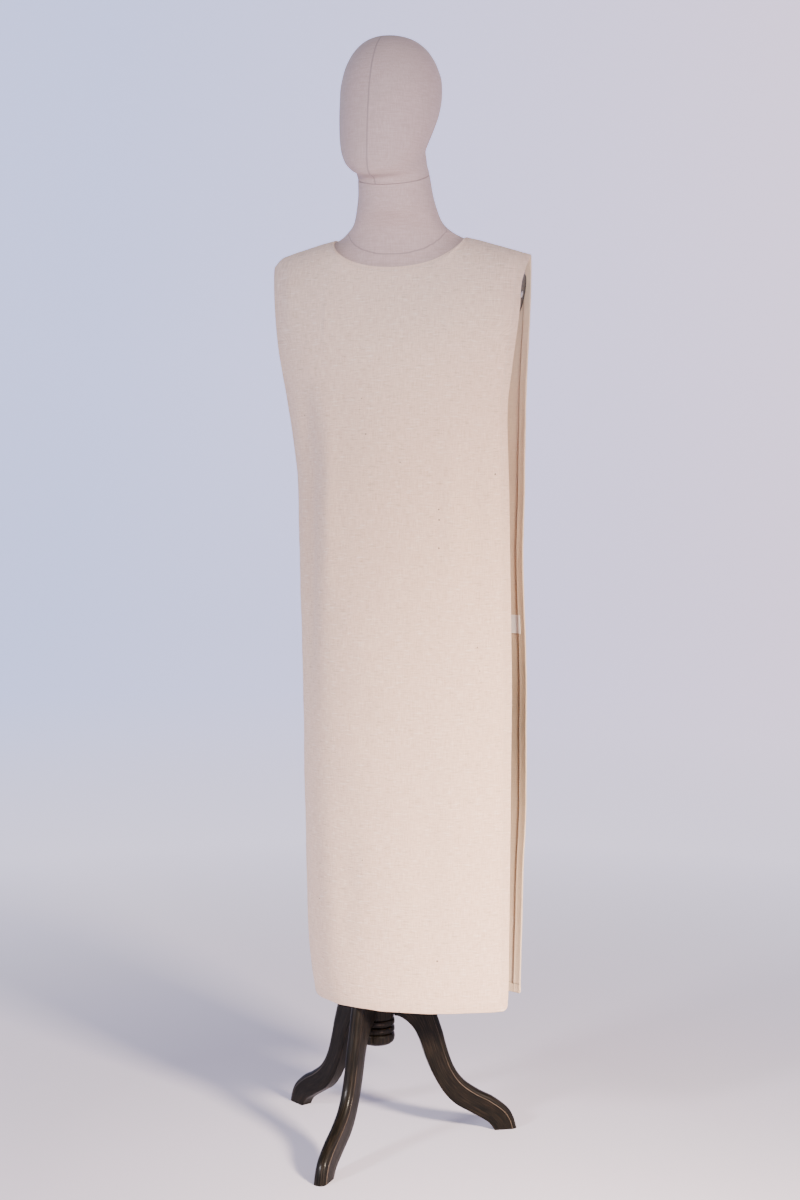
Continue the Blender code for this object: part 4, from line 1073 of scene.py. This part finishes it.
STITCH_FROM_NECK = 0.0066
FIRST_SEWN_ROW = 5          # the side hems' stitches start below the shoulder seam
# Spun sewing thread, undyed: matte, slightly paler than the canvas, twisted every 0.6 mm.
thread = speckled("undyed spun sewing thread", 1500.0, 1.0, "#cdbaa6", "#e6d8c8", Roughness=0.8,
                  Sheen_Weight=0.2)


def make_stitch_tree():
    """Geometry Nodes: threads laid end to end along the sewing lines, each bedded in the cloth."""
    tree = bpy.data.node_groups.new("lockstitch", "GeometryNodeTree")
    add = partial(node, tree)
    for label, way, kind in (("Geometry", "INPUT", "Geometry"), ("Stitch Pitch", "INPUT", "Float"),
                             ("Stitch Length", "INPUT", "Float"), ("Thread Thickness", "INPUT", "Float"),
                             ("Thread", "INPUT", "Material"), ("Geometry", "OUTPUT", "Geometry")):
        tree.interface.new_socket(label, in_out=way, socket_type="NodeSocket" + kind)
    given = add("NodeGroupInput").outputs
    line = add("GeometryNodeMeshToCurve", {"Mesh": given["Geometry"]})
    even = add("GeometryNodeResampleCurve", {"Curve": line, "Length": given["Stitch Pitch"]}, mode="LENGTH")
    lie = add("GeometryNodeInputNamedAttribute", {"Name": "lie"}, data_type="FLOAT_VECTOR")
    run = add("GeometryNodeInputTangent")
    flat = add("FunctionNodeAlignEulerToVector", {"Vector": lie}, axis="Z")
    aimed = add("FunctionNodeAlignEulerToVector", {"Rotation": flat, "Vector": run}, axis="X",
                pivot_axis="Z")
    wobble = add("FunctionNodeRandomValue", {"Min": (-0.03, -0.03, -0.09), "Max": (0.03, 0.03, 0.09),
                                             "Seed": 11}, data_type="FLOAT_VECTOR")
    uneven = add("FunctionNodeRotateEuler", {"Rotation": aimed, "Rotate By": wobble}, space="LOCAL")
    bead = add("GeometryNodeMeshUVSphere", {"Segments": 6, "Rings": 4, "Radius": 0.5})
    size = add("ShaderNodeCombineXYZ", {"X": given["Stitch Length"], "Y": given["Thread Thickness"],
                                        "Z": given["Thread Thickness"]})
    laid = add("GeometryNodeInstanceOnPoints", {"Points": even, "Instance": bead, "Rotation": uneven,
                                                "Scale": size})
    real = add("GeometryNodeRealizeInstances", {"Geometry": laid})
    dyed = add("GeometryNodeSetMaterial", {"Geometry": real, "Material": given["Thread"]})
    add("NodeGroupOutput", {"Geometry": dyed})
    return tree


lockstitch = make_stitch_tree()


def row_place(values, wanted):
    """The two neighbours of a wanted value in a rising list, and the share between them."""
    k = int(np.clip(np.searchsorted(values, wanted) - 1, 0, len(values) - 2))
    return k, (wanted - values[k]) / (values[k + 1] - values[k])


def sewing_lines(draped):
    """The lines of stitches on both faces of a panel, as points with the cloth's lie at each."""
    laid = draped.laid
    rows, places = draped.outer.shape[:2]
    lines = []
    for face, lies in ((draped.outer, draped.normals), (draped.inner, -draped.normals)):
        for from_left in (False, True):
            line = []
            for i in range(FIRST_SEWN_ROW, rows):
                wanted = laid.width[i, 0] - STITCH_FROM_EDGE if from_left else STITCH_FROM_EDGE
                j, t = row_place(laid.from_right[i], wanted)
                if laid.from_bottom[i, j] > STITCH_FROM_EDGE:
                    line.append((face[i, j] * (1 - t) + face[i, j + 1] * t, lies[i, j]))
            lines.append(line)
        low = [j for j in range(places) if laid.from_side[-1, j] >= STITCH_FROM_EDGE]
        neck = np.flatnonzero(~laid.on_seam)
        for run, depths, wanted in ((low, -laid.from_bottom, -STITCH_FROM_EDGE),
                                    (neck, laid.from_top, STITCH_FROM_NECK)):
            line = []
            for j in run:
                i, t = row_place(depths[:, j], wanted)
                line.append((face[i, j] * (1 - t) + face[i + 1, j] * t, lies[i, j]))
            lines.append(line)
    return lines


def sew(name, lines, pitch, length, thickness):
    """Run the stitches along the lines and keep them as one plain mesh."""
    points, edges, lies = [], [], []
    for line in lines:
        first = len(points)
        points += [Vector(point) + FORM_ORIGIN for point, _lie in line]
        lies += [tuple(lie) for _point, lie in line]
        edges += [(k, k + 1) for k in range(first, len(points) - 1)]
    mesh = bpy.data.meshes.new(name + "_lines")
    mesh.from_pydata(points, edges, [])
    mesh.attributes.new("lie", "FLOAT_VECTOR", "POINT").data.foreach_set("vector", np.array(lies).ravel())
    guide = put_in_scene(name + "_lines", mesh)
    sewing = guide.modifiers.new("sewing", "NODES")
    sewing.node_group = lockstitch
    wanted = {"Stitch Pitch": pitch, "Stitch Length": length, "Thread Thickness": thickness,
              "Thread": thread}
    for item in lockstitch.interface.items_tree:
        if item.in_out == "INPUT" and item.name in wanted:
            sewing[item.identifier] = wanted[item.name]
    graph = bpy.context.evaluated_depsgraph_get()
    stitches = bpy.data.meshes.new_from_object(guide.evaluated_get(graph), depsgraph=graph)
    bpy.data.objects.remove(guide, do_unlink=True)
    stitches.shade_smooth()
    piece = put_in_scene(name, stitches)
    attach(piece, "root")
    return piece


front_sewing = sew("front_hem_stitches", sewing_lines(front), pitch=0.0040, length=0.0034,
                   thickness=0.00045)
back_sewing = sew("back_hem_stitches", sewing_lines(back), pitch=0.0040, length=0.0034,
                  thickness=0.00045)

# ------------------------------------------------------------------------------------------------
# The care label. A bare strip of white woven ribbon, 26 by 31 mm, sewn along one short edge inside
# the back panel's left hem; it carries nothing.

LABEL_Z = 0.885
LABEL_HEIGHT = 0.031
LABEL_WIDTH = 0.026
LABEL_FROM_EDGE = 0.009
RIBBON_WALL = 0.0008
RIBBON_CLEAR = 0.0004
RIBBON_CURL = 0.0016        # how far its free end lifts off the canvas


def make_ribbon():
    # Woven polyester ribbon: off-white, a faint satin sheen, ribs 1 mm apart across it.
    ribbon, add, give = new_material("white woven ribbon", Roughness=0.6, Sheen_Weight=0.3)
    uv = add("ShaderNodeUVMap", uv_map="cut").outputs["UV"]
    ribs = add("ShaderNodeTexWave", {"Vector": uv, "Scale": 314.0, "Distortion": 0.4},
               bands_direction="Y")
    tint = add("ShaderNodeMix", {"Factor": ribs, "A": "#d3d0cb", "B": "#e6e3df"}, data_type="RGBA")
    relief = add("ShaderNodeBump", {"Height": ribs, "Strength": 0.4, "Distance": 0.0002})
    give({"Base Color": tint, "Normal": relief})
    return ribbon


def make_label(draped, rows=12, places=14):
    """Lay the ribbon on the panel's inner face, a hair clear of it, and sew its outer end down."""
    laid = draped.laid
    zs = np.linspace(LABEL_Z + LABEL_HEIGHT / 2, LABEL_Z - LABEL_HEIGHT / 2, rows)
    face = np.zeros((rows, places, 3))
    away = np.zeros((rows, places, 3))
    for i, z in enumerate(zs):
        row, up = row_place(-draped.inner[:, len(draped.inner[0]) // 2, 2], -z)
        level = draped.inner[row] * (1 - up) + draped.inner[row + 1] * up
        for j, share in enumerate(np.linspace(0, 1, places)):
            wanted = laid.width[row, 0] - LABEL_FROM_EDGE - LABEL_WIDTH * share
            k, t = row_place(laid.from_right[row], wanted)
            away[i, j] = -draped.normals[row, k]
            lift = RIBBON_CLEAR + RIBBON_CURL * share ** 2
            face[i, j] = level[k] * (1 - t) + level[k + 1] * t + away[i, j] * lift
    back_face = face + away * RIBBON_WALL
    faces, rim = sheet_faces(rows, places)
    count = rows * places
    ring = [i * places + j for i, j in rim]
    faces += [[here, after, count + after, count + here] for here, after in zip(ring, ring[1:] + ring[:1])]
    points = [*face.reshape(-1, 3), *back_face.reshape(-1, 3)]
    piece = make_mesh("ribbon_label", points, faces, make_ribbon(), 50, FORM_ORIGIN)
    shell = bmesh.new()
    shell.from_mesh(piece.data)
    bmesh.ops.recalc_face_normals(shell, faces=shell.faces)
    shell.to_mesh(piece.data)
    shell.free()
    cut = piece.data.uv_layers.new(name="cut")
    for polygon in piece.data.polygons:
        for loop, vertex in zip(polygon.loop_indices, polygon.vertices):
            i, j = divmod(vertex % count, places)
            cut.data[loop].uv = (j / (places - 1) * LABEL_WIDTH, i / (rows - 1) * LABEL_HEIGHT)
    stand_for(piece, "care_label")
    line = [(back_face[i, 1], away[i, 1]) for i in range(rows)]
    return piece, sew("label_stitches", [line], pitch=0.0030, length=0.0025, thickness=0.0005)


label, label_sewing = make_label(back)
